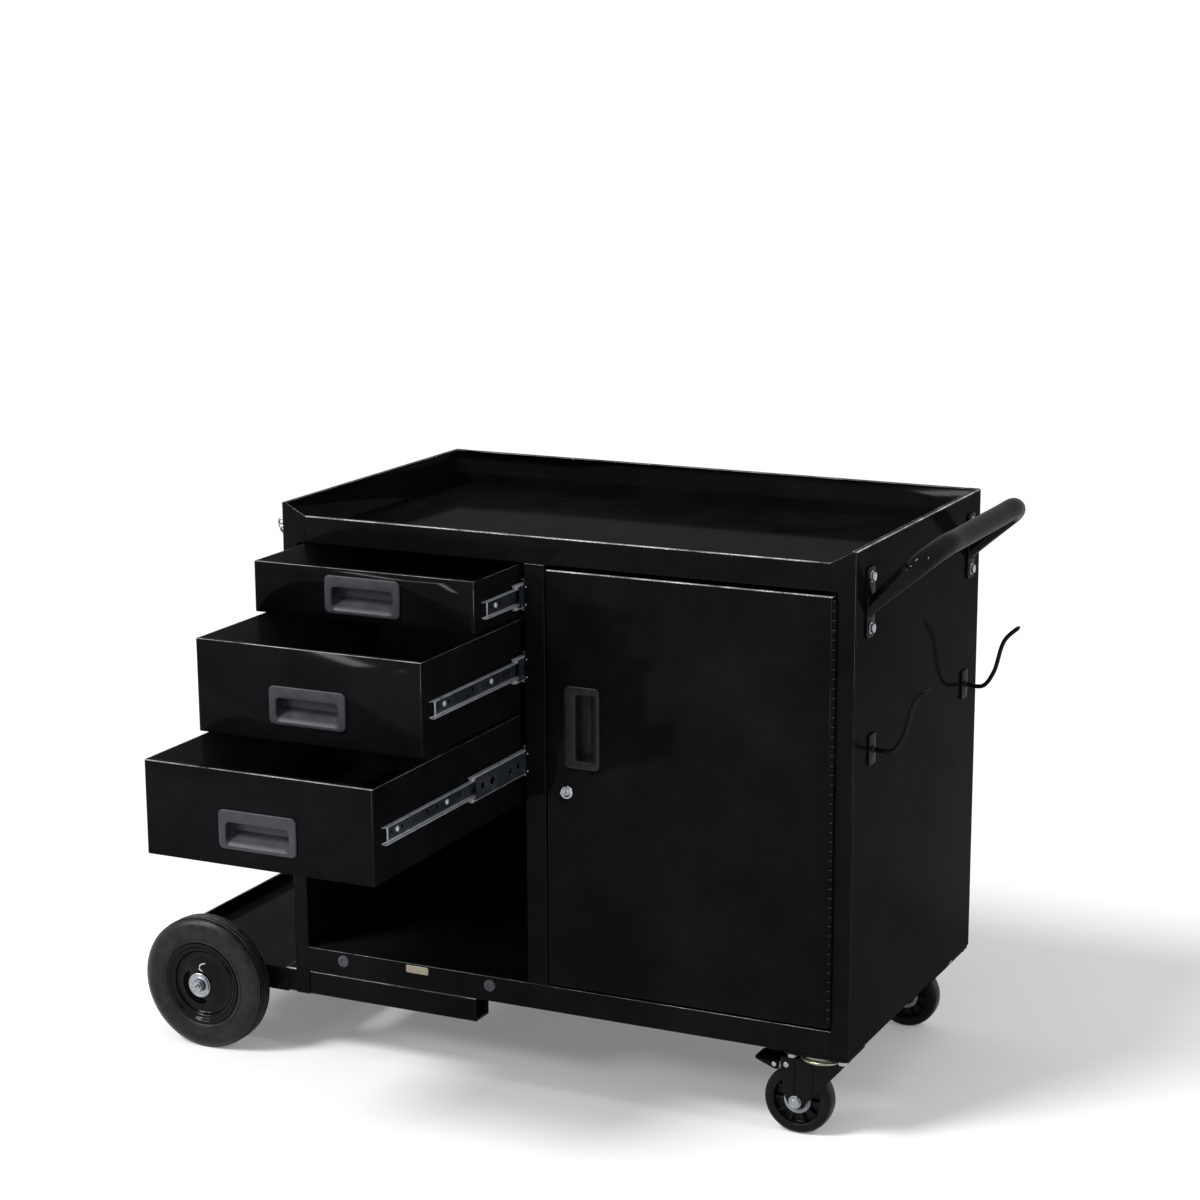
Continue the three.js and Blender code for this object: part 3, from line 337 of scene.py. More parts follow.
def pull(node, upright):
    """A recessed pull as one stack of loops: the back shell, the proud rim, the mouth and the scoop
    behind the grip, whose near edge climbs with its depth. Upright pulls have the grip to the left."""
    rim_height = 3
    low, high = millimetres(node)
    centre = (low + high) / 2
    centre[1] = low[1] + rim_height

    def scoop(depth):
        """The scoop's near edge at a depth behind the front."""
        return -21.5 + 0.8 * (depth + rim_height)

    # Half length, lower and upper edge, corner radius and depth of each loop.
    stack = [
        (52, -22.7, 21, 4, 19.5), (52, -22.7, 21, 4, 0), (60.4, -27.4, 27.4, 9, -0.3),
        (60.5, -27.5, 27.5, 9, -1.7), (60.2, -27.2, 27.2, 8.8, -2.4), (59.5, -26.5, 26.5, 8.4, -2.85),
        (58.6, -25.6, 25.6, 8, -3), (51.2, -23.2, 12.2, 8.6, -3), (50.2, -22.2, 11.2, 8, -2.8),
        (49.6, -21.6, 10.6, 7.5, -2.2), (49.5, scoop(-1), 10.4, 7, -1), (49.5, scoop(2.4), 10.4, 6.5, 2.4),
        (49.5, scoop(3.2), 13, 6, 3.2), (49.5, scoop(6), 18.4, 6, 6), (49.3, scoop(16), 18.4, 6, 16),
        (48.6, scoop(17), 17.4, 6, 17),
    ]
    loops = []
    for half, lower, upper, corner, depth in stack:
        u, v = rectangle(-half, half, lower, upper, corner, 9).T
        across, rise = (-v, u) if upright else (u, v)
        loops.append(np.stack([across, np.full_like(u, depth), rise], -1))
    return skin(centre + np.array(loops))


def pierced(near, far, front, back, low, high, holes):
    """A web from near to far in x, cut along y into cells of one hole each. Each cell is a ring: the
    near rectangle, the hole there, the hole at the far side and the far rectangle."""
    around = 32
    holes = sorted(holes)
    middle = (low + high) / 2
    ends = [front, *((one[0] + two[0]) / 2 for one, two in zip(holes, holes[1:])), back]
    side = np.arange(around) * 4 / around
    turn = (side - 1.5) * np.pi / 2
    shells = []
    for (place, half_length, half_height), start, end in zip(holes, ends, ends[1:]):
        along = np.interp(side, [0, 1, 2, 3, 4], [start, end, end, start, start])
        upward = np.interp(side, [0, 1, 2, 3, 4], [low, low, high, high, low])
        straight = max(half_length - half_height, 0) * np.sign(np.cos(turn))
        hole_along = place + straight + min(half_length, half_height) * np.cos(turn)
        hole_upward = middle + half_height * np.sin(turn)
        loops = [
            np.stack([np.full(around, level), one, two], -1)
            for level, one, two in (
                (near, along, upward), (near, hole_along, hole_upward),
                (far, hole_along, hole_upward), (far, along, upward),
            )
        ]
        shells.append(skin(np.array(loops), ring=True))
    return shells


def rail(low, high, web_right, holes, flange):
    """A slide channel as two lists of shells: its pierced web, and its rolled lips with the web's front
    edge, which is bent in by the flange. A lip is a quarter ring from the web's edge that runs out to a
    flat strip, carried along y. The lips reach past the web at the front."""
    wall, bend, overlap, web_back, edge = 1.4, 2.2, 0.3, 11, 1.8
    foot, tip, way = (high[0], low[0], -1) if web_right else (low[0], high[0], 1)
    near, far = sorted((foot, foot + way * wall))
    web_low, web_high = low[2] + bend - overlap, high[2] - bend + overlap
    web_front = low[1] + web_back
    placed = [(low[1] + step, half_length, half_height) for step, half_length, half_height in holes]
    web = pierced(near, far, web_front, high[1], web_low, web_high, placed)
    turn = np.linspace(0, np.pi / 2, 8)
    quarter = np.stack([np.cos(turn), np.sin(turn)], -1)
    lips = []
    for level, rise in ((low[2], 1), (high[2], -1)):
        outer, inner = (
            np.array([foot, level]) + (bend - radius * quarter) * (way, rise)
            for radius in (bend, bend - wall)
        )
        lip = [*outer, (tip, level), (tip, level + rise * wall), *inner[::-1]]
        lips.append(slab(lip, low[1], high[1], 0.2))
    front_edge = rectangle(*sorted((foot, foot + way * flange)), web_low, web_high, 0.6, 4)
    lips.append(slab(front_edge, web_front, web_front + edge, 0.5))
    return web, lips


# Inside the boxes the coat is a duller satin, painted paler than outside: painted light that lifts
# the shade inside them, so walls and floor show apart.
paler_inside_coat = surface(
    "powder_coat_satin_painted_paler", "#2b2b2f", "#38383c", patch=120, grain=2, gloss=(0.5, 0.62), relief=0.01,
    Specular_IOR_Level=0.3,
)
# Holes in each web: distance from its front, half length and half height.
outer_holes = [(step, 4.5, 3) for step in (24, 90, 200, 330, 470)]
middle_holes = [
    (30, 5.5, 5), (59, 7, 5), (113, 5.5, 4.5), (138, 4.5, 4), (250, 8, 4), (360, 5, 4), (450, 5, 4),
]
inner_holes = [
    (25, 2.2, 2.2), (53, 3.5, 2.8), (121, 3, 4.5), (150, 3, 3), (166, 2.2, 2.2), (214, 3, 4.5),
    (300, 4, 2.6), (420, 5, 2.6),
]
thin_flange, wide_flange = 1.7, 3.2
screw_steps, screw_seat = (39, 176, 360), 1.4
cage_spread, rivet_spread, post_inset = 14.8, 13, 2.2
post_low = millimetres("divider_panel")[0]
post_rivets = []
for number in (1, 2, 3):
    drawer = f"drawer_{number}"
    # The box's inside faces take the coat painted paler, a painted light.
    folded(f"{drawer}_box", drawer, bend=1.7, edge=0.4, inside=paler_inside_coat)
    grip = pull(f"{drawer}_pull", upright=False)
    piece(f"{drawer}_grip", [grip], grey_plastic, "grey_pull", drawer, f"{drawer}_pull")
    # The slides' webs are zinc painted dark and their lips zinc painted pale: a painted reflection and a
    # painted highlight.
    for side, outward in (("left", -1), ("right", 1)):
        slide = f"{drawer}_slide_{side}"
        low, high = millimetres(f"{slide}_outer")
        web, lips = rail(low, high, outward > 0, outer_holes, thin_flange)
        piece(f"{slide}_outer_rail", web, dark_painted_zinc, "zinc", "cabinet", f"{slide}_outer")
        piece(f"{slide}_outer_lips", lips, highlight_painted_zinc, "zinc", "cabinet")
        # The middle channel shows the front ends of its two ball cages.
        low, high = millimetres(f"{slide}_middle")
        web, lips = rail(low, high, outward > 0, middle_holes, thin_flange)
        middle = (low[2] + high[2]) / 2
        for level in (middle - cage_spread, middle + cage_spread):
            cage_end = rectangle(low[0] + 0.4, high[0] - 0.4, level - 1.5, level + 1.5, 1, 4)
            lips.append(slab(cage_end, low[1] + 0.2, low[1] + 7, 0.5))
        piece(f"{slide}_middle_rail", web, dark_painted_zinc, "zinc", f"{drawer}_middle", f"{slide}_middle")
        piece(f"{slide}_middle_lips", lips, highlight_painted_zinc, "zinc", f"{drawer}_middle")
        low, high = millimetres(f"{slide}_inner")
        web, lips = rail(low, high, outward < 0, inner_holes, wide_flange)
        web_face = low[0] + screw_seat if outward > 0 else high[0] - screw_seat
        for step in screw_steps:
            lips.append(button(4, 2.6, (web_face, low[1] + step, middle), (outward, 0, 0)))
        piece(f"{slide}_inner_rail", web, dark_painted_zinc, "zinc", drawer, f"{slide}_inner")
        piece(f"{slide}_inner_lips", lips, highlight_painted_zinc, "zinc", drawer)
    # Two small rivets in the post's edge hold the front of each outer channel.
    for level in (middle - rivet_spread, middle + rivet_spread):
        rivet_centre = (post_low[0] + post_inset, post_low[1], level)
        post_rivets.append(button(1.5, 0.9, rivet_centre, (0, -1, 0), sides=16))
piece("slide_post_rivets", post_rivets, zinc_plate, "zinc", "cabinet")


# Door: a folded pan of the same sheet, hung on a piano hinge whose leaves are welded to the door's
# return and to the right-hand post. It has an upright pull and a chromed cam lock.

folded("door_panel", "door")
# The door's pull is the same moulding in near-black plastic.
dark_plastic = surface(
    "moulded_charcoal_plastic", "#19191c", "#232327", patch=20, grain=0.6, gloss=(0.36, 0.5), relief=0.012,
    Specular_IOR_Level=0.2,
)
piece("door_grip", [pull("door_pull", upright=True)], dark_plastic, "dark_pull", "door", "door_pull")

# Polished chrome: near mirror, with light wiping marks.
chrome_plate = surface(
    "polished_chrome_plate", "#7b7f84", "#aeb2b7", patch=8, grain=0.8, gloss=(0.05, 0.14), relief=0.004,
    Metallic=1.0,
)
lock_low, lock_high = millimetres("lock_body")
lock_x, lock_z = (lock_low[0] + lock_high[0]) / 2, (lock_low[2] + lock_high[2]) / 2
lock_depth = lock_high[1] - lock_low[1]
bezel_profile = [
    (5.3, lock_depth), (9, lock_depth), (9, 2.9), (10.4, 2.7), (10.5, 2.2), (10.2, 1.2), (9.4, 0.5),
    (8.2, 0.15), (7.2, 0), (6.6, 0.3), (6.2, 0.9), (5.3, 1.0),
]
bezel = turned(bezel_profile, (lock_x, lock_low[1], lock_z), (0, 1, 0), ring=True)
piece("lock_bezel", [bezel], chrome_plate, "chrome", "door", "lock_body")
# The plug's front is drawn in to the key slot, which has as many points as its rim.
plug_low, plug_high = millimetres("lock_plug")
plug_front, cam_front = plug_low[1], plug_high[1] - 2.5
slot_line = rectangle(-0.8, 0.8, -3.4, 3.4, 0.5)
around = len(slot_line)
turn = np.linspace(0, 2 * np.pi, around, endpoint=False) - 0.75 * np.pi
circle = np.stack([np.cos(turn), np.sin(turn)], -1)
plug_lines = [
    (4.9 * circle, cam_front + 2.4), (4.9 * circle, plug_front + 0.9), (4.4 * circle, plug_front + 0.5),
    (slot_line, plug_front + 0.5), (slot_line, plug_front + 4),
]
plug_loops = [np.stack([line[:, 0], np.full(around, level), line[:, 1]], -1) for line, level in plug_lines]
plug = skin(np.array([lock_x, 0, lock_z]) + np.array(plug_loops))
cam_line = rectangle(plug_low[0], plug_high[0], plug_low[2], plug_high[2], 5)
cam = slab(cam_line, cam_front, plug_high[1], 0.3)
piece("lock_plug_and_cam", [plug, cam], chrome_plate, "chrome", "lock", "lock_plug")

# The hinge is coated with the door. Where two knuckles meet, the coat is worn to metal, which is on
# the pin's rings here.
knuckles, gap, leaf_wall = 45, 0.4, 1
pin_low, pin_high = millimetres("hinge_pin")
pin_x, pin_y = (pin_low[:2] + pin_high[:2]) / 2
pin_length = pin_high[2] - pin_low[2]
pitch = pin_length / knuckles
half_barrel = [(1.7, gap), (2.9, gap), (3.2, gap + 0.4)]
barrel = half_barrel + [(radius, pitch - level) for radius, level in reversed(half_barrel)]
for leaf, body, first in (("hinge_frame_leaf", "cabinet", 0), ("hinge_door_leaf", "door", 1)):
    low, high = millimetres(leaf)
    inner, outer = (high[0] - leaf_wall, high[0]) if first == 0 else (low[0], low[0] + leaf_wall)
    plate = rectangle(pin_y + 3.5, high[1], low[2] + 0.3, high[2] - 0.3, 1.5)
    shells = [slab(plate, inner, outer, 0.2, axes=(1, 2, 0))]
    for base in pin_low[2] + pitch * np.arange(first, knuckles, 2):
        shells.append(turned(barrel, (pin_x, pin_y, base), (0, 0, 1), ring=True, sides=24))
        tab = rectangle(pin_y, pin_y + 4.5, base + gap, base + pitch - gap, 0.3)
        shells.append(slab(tab, inner, outer, 0.15, axes=(1, 2, 0)))
    piece(f"{leaf}_barrels", shells, powder_coat, "black_powder_coat", body, leaf)
ring_half, pin_radius, ring_radius = 0.9 * gap, 1.3, 2.8
pin_profile = [(0.1, 0), (0.9, 0), (pin_radius, 0.4)]
for level in pitch * np.arange(1, knuckles):
    pin_profile += [(pin_radius, level - gap), (ring_radius, level - ring_half)]
    pin_profile += [(ring_radius, level + ring_half), (pin_radius, level + gap)]
pin_profile += [(pin_radius, pin_length - 0.4), (0.9, pin_length), (0.1, pin_length)]
pin_rod = turned(pin_profile, (pin_x, pin_y, pin_low[2]), (0, 0, 1), sides=16)
# The pin is in the same zinc painted dark.
piece("hinge_pin_rod", [pin_rod], dark_painted_zinc, "zinc", "cabinet", "hinge_pin")


# Side tray: flat-bar walls round a floor plate, welded to two box rails that run under the cabinet,
# all in the same black coat.

folded("cylinder_tray", "cabinet", bend=2.2, edge=0.6)


# Plain wheels: solid rubber tyres moulded on pressed-steel centres, turning on a zinc-plated through
# axle with a spacer behind each wheel, and a washer and nut outside it.

# Worn black rubber: greyer where it is scuffed, satin at the shoulder.
tyre_rubber = surface(
    "moulded_black_rubber", "#060607", "#1f1f22", patch=14, grain=1.2, gloss=(0.28, 0.46), relief=0.02,
    Specular_IOR_Level=0.2,
)
# Stoved enamel on the pressed centres: the blackest coat, with sharp lamp reflections.
wheel_enamel = surface(
    "stoved_black_enamel", "#060607", "#0c0c0e", patch=40, grain=3, gloss=(0.4, 0.5), relief=0.004,
    Specular_IOR_Level=0.0, Coat_Weight=0.25, Coat_Roughness=0.03,
)
depth = millimetres("right_side_panel")[1][1]
bead, wall_height, swell = 69, 17, 0.9
shoulder_foot, shoulder_reach, shoulder_depth = 86, 17.4, 11
# From the hub down the dome to a channel, up two steps to the lip, and back behind the disc.
rim_profile = [
    (7.4, 21), (13, 21), (16, 20.7), (19, 19.8), (22, 18.3), (25, 16.4), (28, 14.4), (31, 12.6), (34, 11.1),
    (37, 9.9), (40, 9), (43, 8.4), (46, 8.2), (48, 8.5), (49.5, 9.4), (50.5, 10.8), (51.2, 12.4),
    (52.2, 13.6), (53.6, 14.2), (55.6, 14.5), (57, 15.2), (58, 16.5), (59, 17.8), (60.4, 18.7), (62, 19.1),
    (64.6, 18.6), (64.7, 17.2), (64.7, -18), (62, -18.6), (54, -17), (51, -13), (49.6, 0), (47.5, 4),
    (43, 4.5), (37, 6.2), (30, 9.4), (20, 8), (14, 5), (14, -19.9), (7.4, -19.9),
]
for place, outward in (("front", -1), ("rear", 1)):
    low, high = millimetres(f"wheel_tyre_{place}")
    centre = (low + high) / 2
    radius, half = (high[2] - low[2]) / 2, (high[1] - low[1]) / 2
    # Half of the tyre's section from the bead round the wall to the tread; the other half mirrors it.
    share = np.linspace(0, 1, 12)
    rise = np.sin(np.minimum(1.1 * share, 1) * np.pi / 2)
    wall = list(zip(bead + wall_height * share, half - swell + swell * rise))
    wall[2:2] = [(70.6, half - 0.7), (71, half), (72, half)]
    turn = np.linspace(0.1, 1.25, 12)
    drop = shoulder_depth * (1 - np.cos(turn))
    shoulder = list(zip(shoulder_foot + shoulder_reach * np.sin(turn), half - drop))
    tread, groove_floor = [], radius - 3.6
    for groove in (10.5, 3.6):
        tread += [(radius - 0.6, groove + 2.2), (radius - 1.2, groove + 1.8), (groove_floor, groove + 1.5)]
        tread += [(groove_floor, groove - 1.5), (radius - 1.2, groove - 1.8), (radius - 0.1, groove - 2.4)]
    half_section = [(65.2, half - 3), (67, half - 1.4), *wall, *shoulder, *tread]
    section = half_section + [(distance, -level) for distance, level in reversed(half_section)]
    tyre = turned(section, centre, (0, outward, 0), ring=True, sides=128)
    piece(f"wheel_tyre_{place}_rubber", [tyre], tyre_rubber, "tyre", f"wheel_{place}", f"wheel_tyre_{place}")
    rim = turned(rim_profile, centre, (0, outward, 0), ring=True, sides=128)
    piece(f"wheel_rim_{place}_pressing", [rim], wheel_enamel, "black_powder_coat", f"wheel_{place}",
          f"wheel_rim_{place}", sharp=60)
# Along the axle from its tip: the threaded end, then past the nut the washer with its pressed rings.
axle_low, axle_high = millimetres("wheel_axle")
axle_x, axle_z = (axle_low[0] + axle_high[0]) / 2, (axle_low[2] + axle_high[2]) / 2
axle_length = axle_high[1] - axle_low[1]
thread_pitch, washer_face = 1.2, 16
thread = []
for index in range(6):
    thread += [(5, 1.4 + thread_pitch * index), (4.5, 2 + thread_pitch * index)]
face_rings = [
    (5, 1.6), (9.5, 1.4), (10.5, 0.7), (12.5, 0.55), (13.6, 1.3), (15.4, 1.3), (16.4, 0.7), (18.4, 0),
]
end_washer = [(19.2, 0.4), (19.5, 1.1), (19.5, 3), (7, 3)]
half_axle = [(0.1, 0), (3.8, 0), *thread, (5, 9)]
half_axle += [(distance, washer_face + level) for distance, level in face_rings + end_washer]
axle_profile = half_axle + [(distance, axle_length - level) for distance, level in reversed(half_axle)]
axle_shells = [turned(axle_profile, (axle_x, axle_low[1], axle_z), (0, 1, 0))]
spacer_out, spacer_in = 12.7, 1.5
for near, far in ((-spacer_out, spacer_in), (depth - spacer_in, depth + spacer_out)):
    spacer = [(7.2, near), (9.6, near), (10, near + 0.5), (10, far - 0.5), (9.6, far), (7.2, far)]
    axle_shells.append(turned(spacer, (axle_x, 0, axle_z), (0, 1, 0), ring=True, sides=32))
nut_corner, nut_start, nut_end = 9.5, axle_low[1] + 8, axle_low[1] + washer_face + 1
turn = np.arange(6) * np.pi / 3
nut = np.stack([axle_x + nut_corner * np.cos(turn), axle_z + nut_corner * np.sin(turn)], -1)
for near, far in ((nut_start, nut_end), (depth - nut_end, depth - nut_start)):
    axle_shells.append(slab(rounded(nut, 1.4, 4), near, far, 0.8))
piece("wheel_axle_and_nuts", axle_shells, zinc_plate, "zinc", "cabinet", "wheel_axle")


# Casters: a bolted plate, a ball raceway in yellow zinc, a pressed fork with its axle bolt, a rubber
# wheel on a moulded centre and a foot brake riveted to the fork. Both trail towards the wheels' end.

# Near-black rubber, satin on the wall.
caster_rubber = surface(
    "moulded_dark_grey_rubber", "#060607", "#111113", patch=18, grain=0.8, gloss=(0.26, 0.4), relief=0.01,
    Specular_IOR_Level=0.1,
)
# Pale grey thread guard, dulled by dust.
guard_plastic = surface(
    "moulded_pale_grey_plastic", "#6f7178", "#8b8d94", patch=10, grain=0.6, gloss=(0.4, 0.55), relief=0.01,
    Specular_IOR_Level=0.4,
)
# Yellow passivated zinc, olive in the shade.
yellow_zinc = surface(
    "yellow_zinc_plated_steel", "#74796a", "#a4a998", patch=10, grain=1.2, gloss=(0.22, 0.34), relief=0.002,
    Metallic=1.0,
)
# The coat on pressed forks, tube and rod: black with clean highlights along every round.
tube_coat = surface(
    "powder_coat_on_tube", "#070708", "#111113", patch=120, grain=2, gloss=(0.3, 0.4), relief=0.003,
    Specular_IOR_Level=0.0, Coat_Weight=0.18, Coat_Roughness=0.05,
)


def hexagon(across, centre):
    """The outline of a hexagonal head by its width across flats, its corners a little rounded."""
    turn = np.arange(6) * np.pi / 3
    corners = np.stack([np.cos(turn), np.sin(turn)], -1) * across / math.sqrt(3) + centre
    return rounded(corners, across * 0.08, 4)


leg_inner, leg_outer = 17, 21
raceway_height, play = 12, 0.3
pivot_step, pivot_level, pad_top = -50, 105.1, 109.1
spokes = 10
plate_washer = [(0.2, -1.4), (8.2, -1.4), (8.6, -1.0), (8.6, 0.1), (0.2, 0.1)]
raceway_profile = [
    (0.2, 12), (30, 12), (33, 11.4), (34, 10), (33.8, 8.6), (32, 7.4), (30.6, 6.6), (30.4, 5.8),
    (31.2, 5.2), (33, 4.2), (34, 2.8), (33.6, 1), (31, 0), (0.2, 0),
]
half_wheel = [
    (5.3, 16.6), (11.4, 16.6), (12, 16), (12, 12.6), (13, 11.8), (19.6, 11.4), (20.6, 10.4), (21, 5),
    (34, 5), (35, 6), (35.6, 13.4), (36.4, 14.4), (38.5, 14.9), (42, 15), (45.5, 14.6), (47.6, 13.8),
    (49.2, 12.2), (50.2, 9.8), (50.7, 6.4), (50.8, 2),
]
wheel_profile = half_wheel + [(distance, -level) for distance, level in reversed(half_wheel)]
guard_profile = [(14, 11.2), (14.2, 12.6), (15.4, 13.4), (18.4, 13.2), (20, 12.2), (20.4, 10.6)]
bolt_profile = [
    (0.2, 20), (9.6, 20), (9.8, 20.9), (9.6, 21.9), (4.6, 21.9), (4.6, 25.4), (3.6, 26), (0.2, 26),
]
sleeve_profile = [(0.2, -leg_inner), (5, -leg_inner), (5, leg_inner), (0.2, leg_inner)]
barrel_profile = [(0.2, -16.3), (3.6, -16.3), (4, -15.9), (4, 15.9), (3.6, 16.3), (0.2, 16.3)]
for place in ("front", "rear"):
    low, high = millimetres(f"caster_plate_{place}")
    axis_x, axis_y = (low[:2] + high[:2]) / 2
    plate = slab(rectangle(low[0], high[0], low[1], high[1], 9), low[2], high[2], 0.5, axes=(0, 1, 2))
    piece(f"caster_plate_{place}_pressing", [plate], powder_coat, "black_powder_coat", "cabinet",
          f"caster_plate_{place}")
    shells = []
    for step_x in (-38, 38):
        for step_y in (-28, 28):
            bolt_x, bolt_y = axis_x + step_x, axis_y + step_y
            head = hexagon(13, (bolt_x, bolt_y))
            shells.append(slab(head, low[2] - 6.4, low[2] - 1.2, 0.6, axes=(0, 1, 2)))
            shells.append(turned(plate_washer, (bolt_x, bolt_y, low[2]), (0, 0, 1), sides=32))
    piece(f"caster_plate_{place}_bolts", shells, zinc_plate, "zinc", "cabinet")

    # Two legs with pressed beads, and the bridge under the raceway.
    fork_top = low[2] - play - raceway_height
    leg = [
        (-53, 58), (-44, 41.9), (-28, 41.9), (-14, 56), (34, 111), (34, fork_top), (-59, fork_top),
        (-59, 100),
    ]
    leg = rounded(np.array(leg) + (axis_x, 0), [9, 8, 8, 10, 3, 2, 4, 8])
    shells = []
    for near, far in ((-leg_outer, -leg_inner), (leg_inner, leg_outer)):
        shells.append(slab(leg, axis_y + near, axis_y + far, 0.7))
        side = axis_y - 0.7 + (near if near < 0 else far)
        for step, foot in ((-40, 60), (-12, 68)):
            bead = rectangle(axis_x + step - 3.2, axis_x + step + 3.2, foot, 111, 3)
            shells.append(slab(bead, side - 0.9, side + 2.3, 1.5))
    bridge = rectangle(axis_x - 41, axis_x + 34, axis_y - 17.5, axis_y + 17.5, 2)
    shells.append(slab(bridge, fork_top - 4, fork_top, 0.5, axes=(0, 1, 2)))
    piece(f"caster_fork_{place}_pressing", shells, tube_coat, "black_powder_coat", f"caster_{place}",
          f"caster_fork_{place}")
    raceway = turned(raceway_profile, (axis_x, axis_y, fork_top), (0, 0, 1), sides=72)
    piece(f"caster_raceway_{place}", [raceway], yellow_zinc, "zinc", f"caster_{place}", sharp=60)

    # The wheel is hollow on both sides between hub and tread, with ribs across the hollow.
    wheel_low, wheel_high = millimetres(f"caster_wheel_{place}")
    centre = (wheel_low + wheel_high) / 2
    shells = [turned(wheel_profile, centre, (0, 1, 0), ring=True, sides=112)]
    for angle in np.arange(spokes) * 2 * np.pi / spokes:
        turn = np.array([[np.cos(angle), np.sin(angle)], [-np.sin(angle), np.cos(angle)]])
        spoke = rectangle(20, 35.5, -1.3, 1.3, 0.6, 4) @ turn + centre[[0, 2]]
        for start, end in ((4.4, 11.4), (-11.4, -4.4)):
            shells.append(slab(spoke, centre[1] + start, centre[1] + end, 0.4))
    piece(f"caster_wheel_{place}_rubber", shells, caster_rubber, "caster_rubber", f"caster_{place}_roller",
          f"caster_wheel_{place}")
    shells = [turned(guard_profile, centre, (0, side, 0), ring=True, sides=72) for side in (-1, 1)]
    piece(f"caster_wheel_{place}_guards", shells, guard_plastic, "grey_pull", f"caster_{place}_roller")
    shells = []
    axle_centre = (centre[0], axis_y, centre[2])
    pivot_x = axis_x + pivot_step
    for side in (-1, 1):
        start, end = sorted((axis_y + side * 21.9, axis_y + side * 25))
        shells.append(slab(hexagon(15.5, centre[[0, 2]]), start, end, 0.7))
        shells.append(turned(bolt_profile, axle_centre, (0, side, 0), sides=32))
        rivet_centre = (pivot_x, axis_y + side * leg_outer, pivot_level)
        shells.append(button(4.2, 2, rivet_centre, (0, side, 0)))
    shells.append(turned(sleeve_profile, axle_centre, (0, 1, 0), sides=32))
    piece(f"caster_fork_{place}_fasteners", shells, zinc_plate, "zinc", f"caster_{place}")

    # The pedal: a ridged pad that narrows between the legs, a cheek on each side, and its pivot barrel.
    pad_end, pad_neck = millimetres(f"caster_pedal_{place}")[0][0], axis_x - 64
    half_pad = [(pad_end, -21), (pad_neck, -21), (pad_neck, -15), (pivot_x, -15)]
    pad = np.array(half_pad + [(x, -y) for x, y in reversed(half_pad)]) + (0, axis_y)
    pad = rounded(pad, [9, 2, 2, 2, 2, 2, 2, 9])
    shells = [slab(pad, pad_top - 2.5, pad_top, 0.6, axes=(0, 1, 2))]
    for start in pad_end + 5 + 6 * np.arange(5):
        ridge = rectangle(start, start + 2.4, axis_y - 15, axis_y + 15, 1)
        shells.append(slab(ridge, pad_top - 0.6, pad_top + 0.9, 0.7, axes=(0, 1, 2)))
    cheek_foot = pad_top - 13
    cheek = [
        (pad_end + 3, pad_top - 2), (axis_x - 69, cheek_foot), (axis_x - 62, cheek_foot),
        (axis_x - 59.8, pad_top), (pad_end + 3, pad_top),
    ]
    cheek = rounded(cheek, [1, 3, 2, 1, 0.6])
    for near, far in ((-21, -18.5), (18.5, 21)):
        shells.append(slab(cheek, axis_y + near, axis_y + far, 0.5))
    shells.append(turned(barrel_profile, (pivot_x, axis_y, pivot_level), (0, 1, 0), sides=24))
    piece(f"caster_pedal_{place}_pressing", shells, powder_coat, "black_powder_coat",
          f"caster_{place}_brake", f"caster_pedal_{place}")
    shells = []
    for side in (-1, 1):
        rivet_centre = (axis_x - 68.5, axis_y + side * 21, pad_top - 6)
        shells.append(button(3.6, 1.8, rivet_centre, (0, side, 0)))
    piece(f"caster_pedal_{place}_rivets", shells, zinc_plate, "zinc", f"caster_{place}_brake")


# Push handle: one bent steel tube in the same coat, its ends pressed thinner and welded to two plates
# that are bolted through the right panel. Two hooks of bent rod are welded to pads below it.

def through(points, steps):
    """A smooth curve through points: each span is a cubic whose end slopes follow the neighbours,
    weighted by the square roots of their distances."""
    points = np.array(points, float)
    points = np.concatenate([[2 * points[0] - points[1]], points, [2 * points[-1] - points[-2]]])
    gap = np.sqrt(np.linalg.norm(np.diff(points, axis=0), axis=1))[:, None, None]
    share = np.linspace(0, 1, steps, endpoint=False)[None, :, None]
    p0, p1, p2, p3 = (points[place:len(points) - 3 + place, None] for place in range(4))
    g0, g1, g2 = gap[:-2], gap[1:-1], gap[2:]
    leave = g1 * ((p1 - p0) / g0 - (p2 - p0) / (g0 + g1) + (p2 - p1) / g1)
    arrive = g1 * ((p2 - p1) / g1 - (p3 - p1) / (g1 + g2) + (p3 - p2) / g2)
    bend = -3 * p1 + 3 * p2 - 2 * leave - arrive
    twist = 2 * p1 - 2 * p2 + leave + arrive
    curve = p1 + leave * share + bend * share ** 2 + twist * share ** 3
    return np.concatenate([curve.reshape(-1, 3), points[-2:-1]])


def round_bar(path, radius, sides=28, closed=False):
    """Circles carried along a path, each square to it and turned as little as can be from the last. The
    radius is one value or one for each point."""
    path = np.array(path, float)
    ahead = np.roll(path, -1, 0) - np.roll(path, 1, 0) if closed else np.gradient(path, axis=0)
    ahead /= np.linalg.norm(ahead, axis=1, keepdims=True)
    across = np.zeros_like(path)
    side = np.cross(ahead[0], (0.3, 0.5, 0.81))
    for place, forward in enumerate(ahead):
        side = side - forward * np.dot(side, forward)
        side /= np.linalg.norm(side)
        across[place] = side
    other = np.cross(ahead, across)
    turn = np.linspace(0, 2 * np.pi, sides, endpoint=False)[None, :, None]
    radius = np.broadcast_to(np.array(radius, float), len(path))[:, None, None]
    return path[:, None] + radius * (np.cos(turn) * across[:, None] + np.sin(turn) * other[:, None])


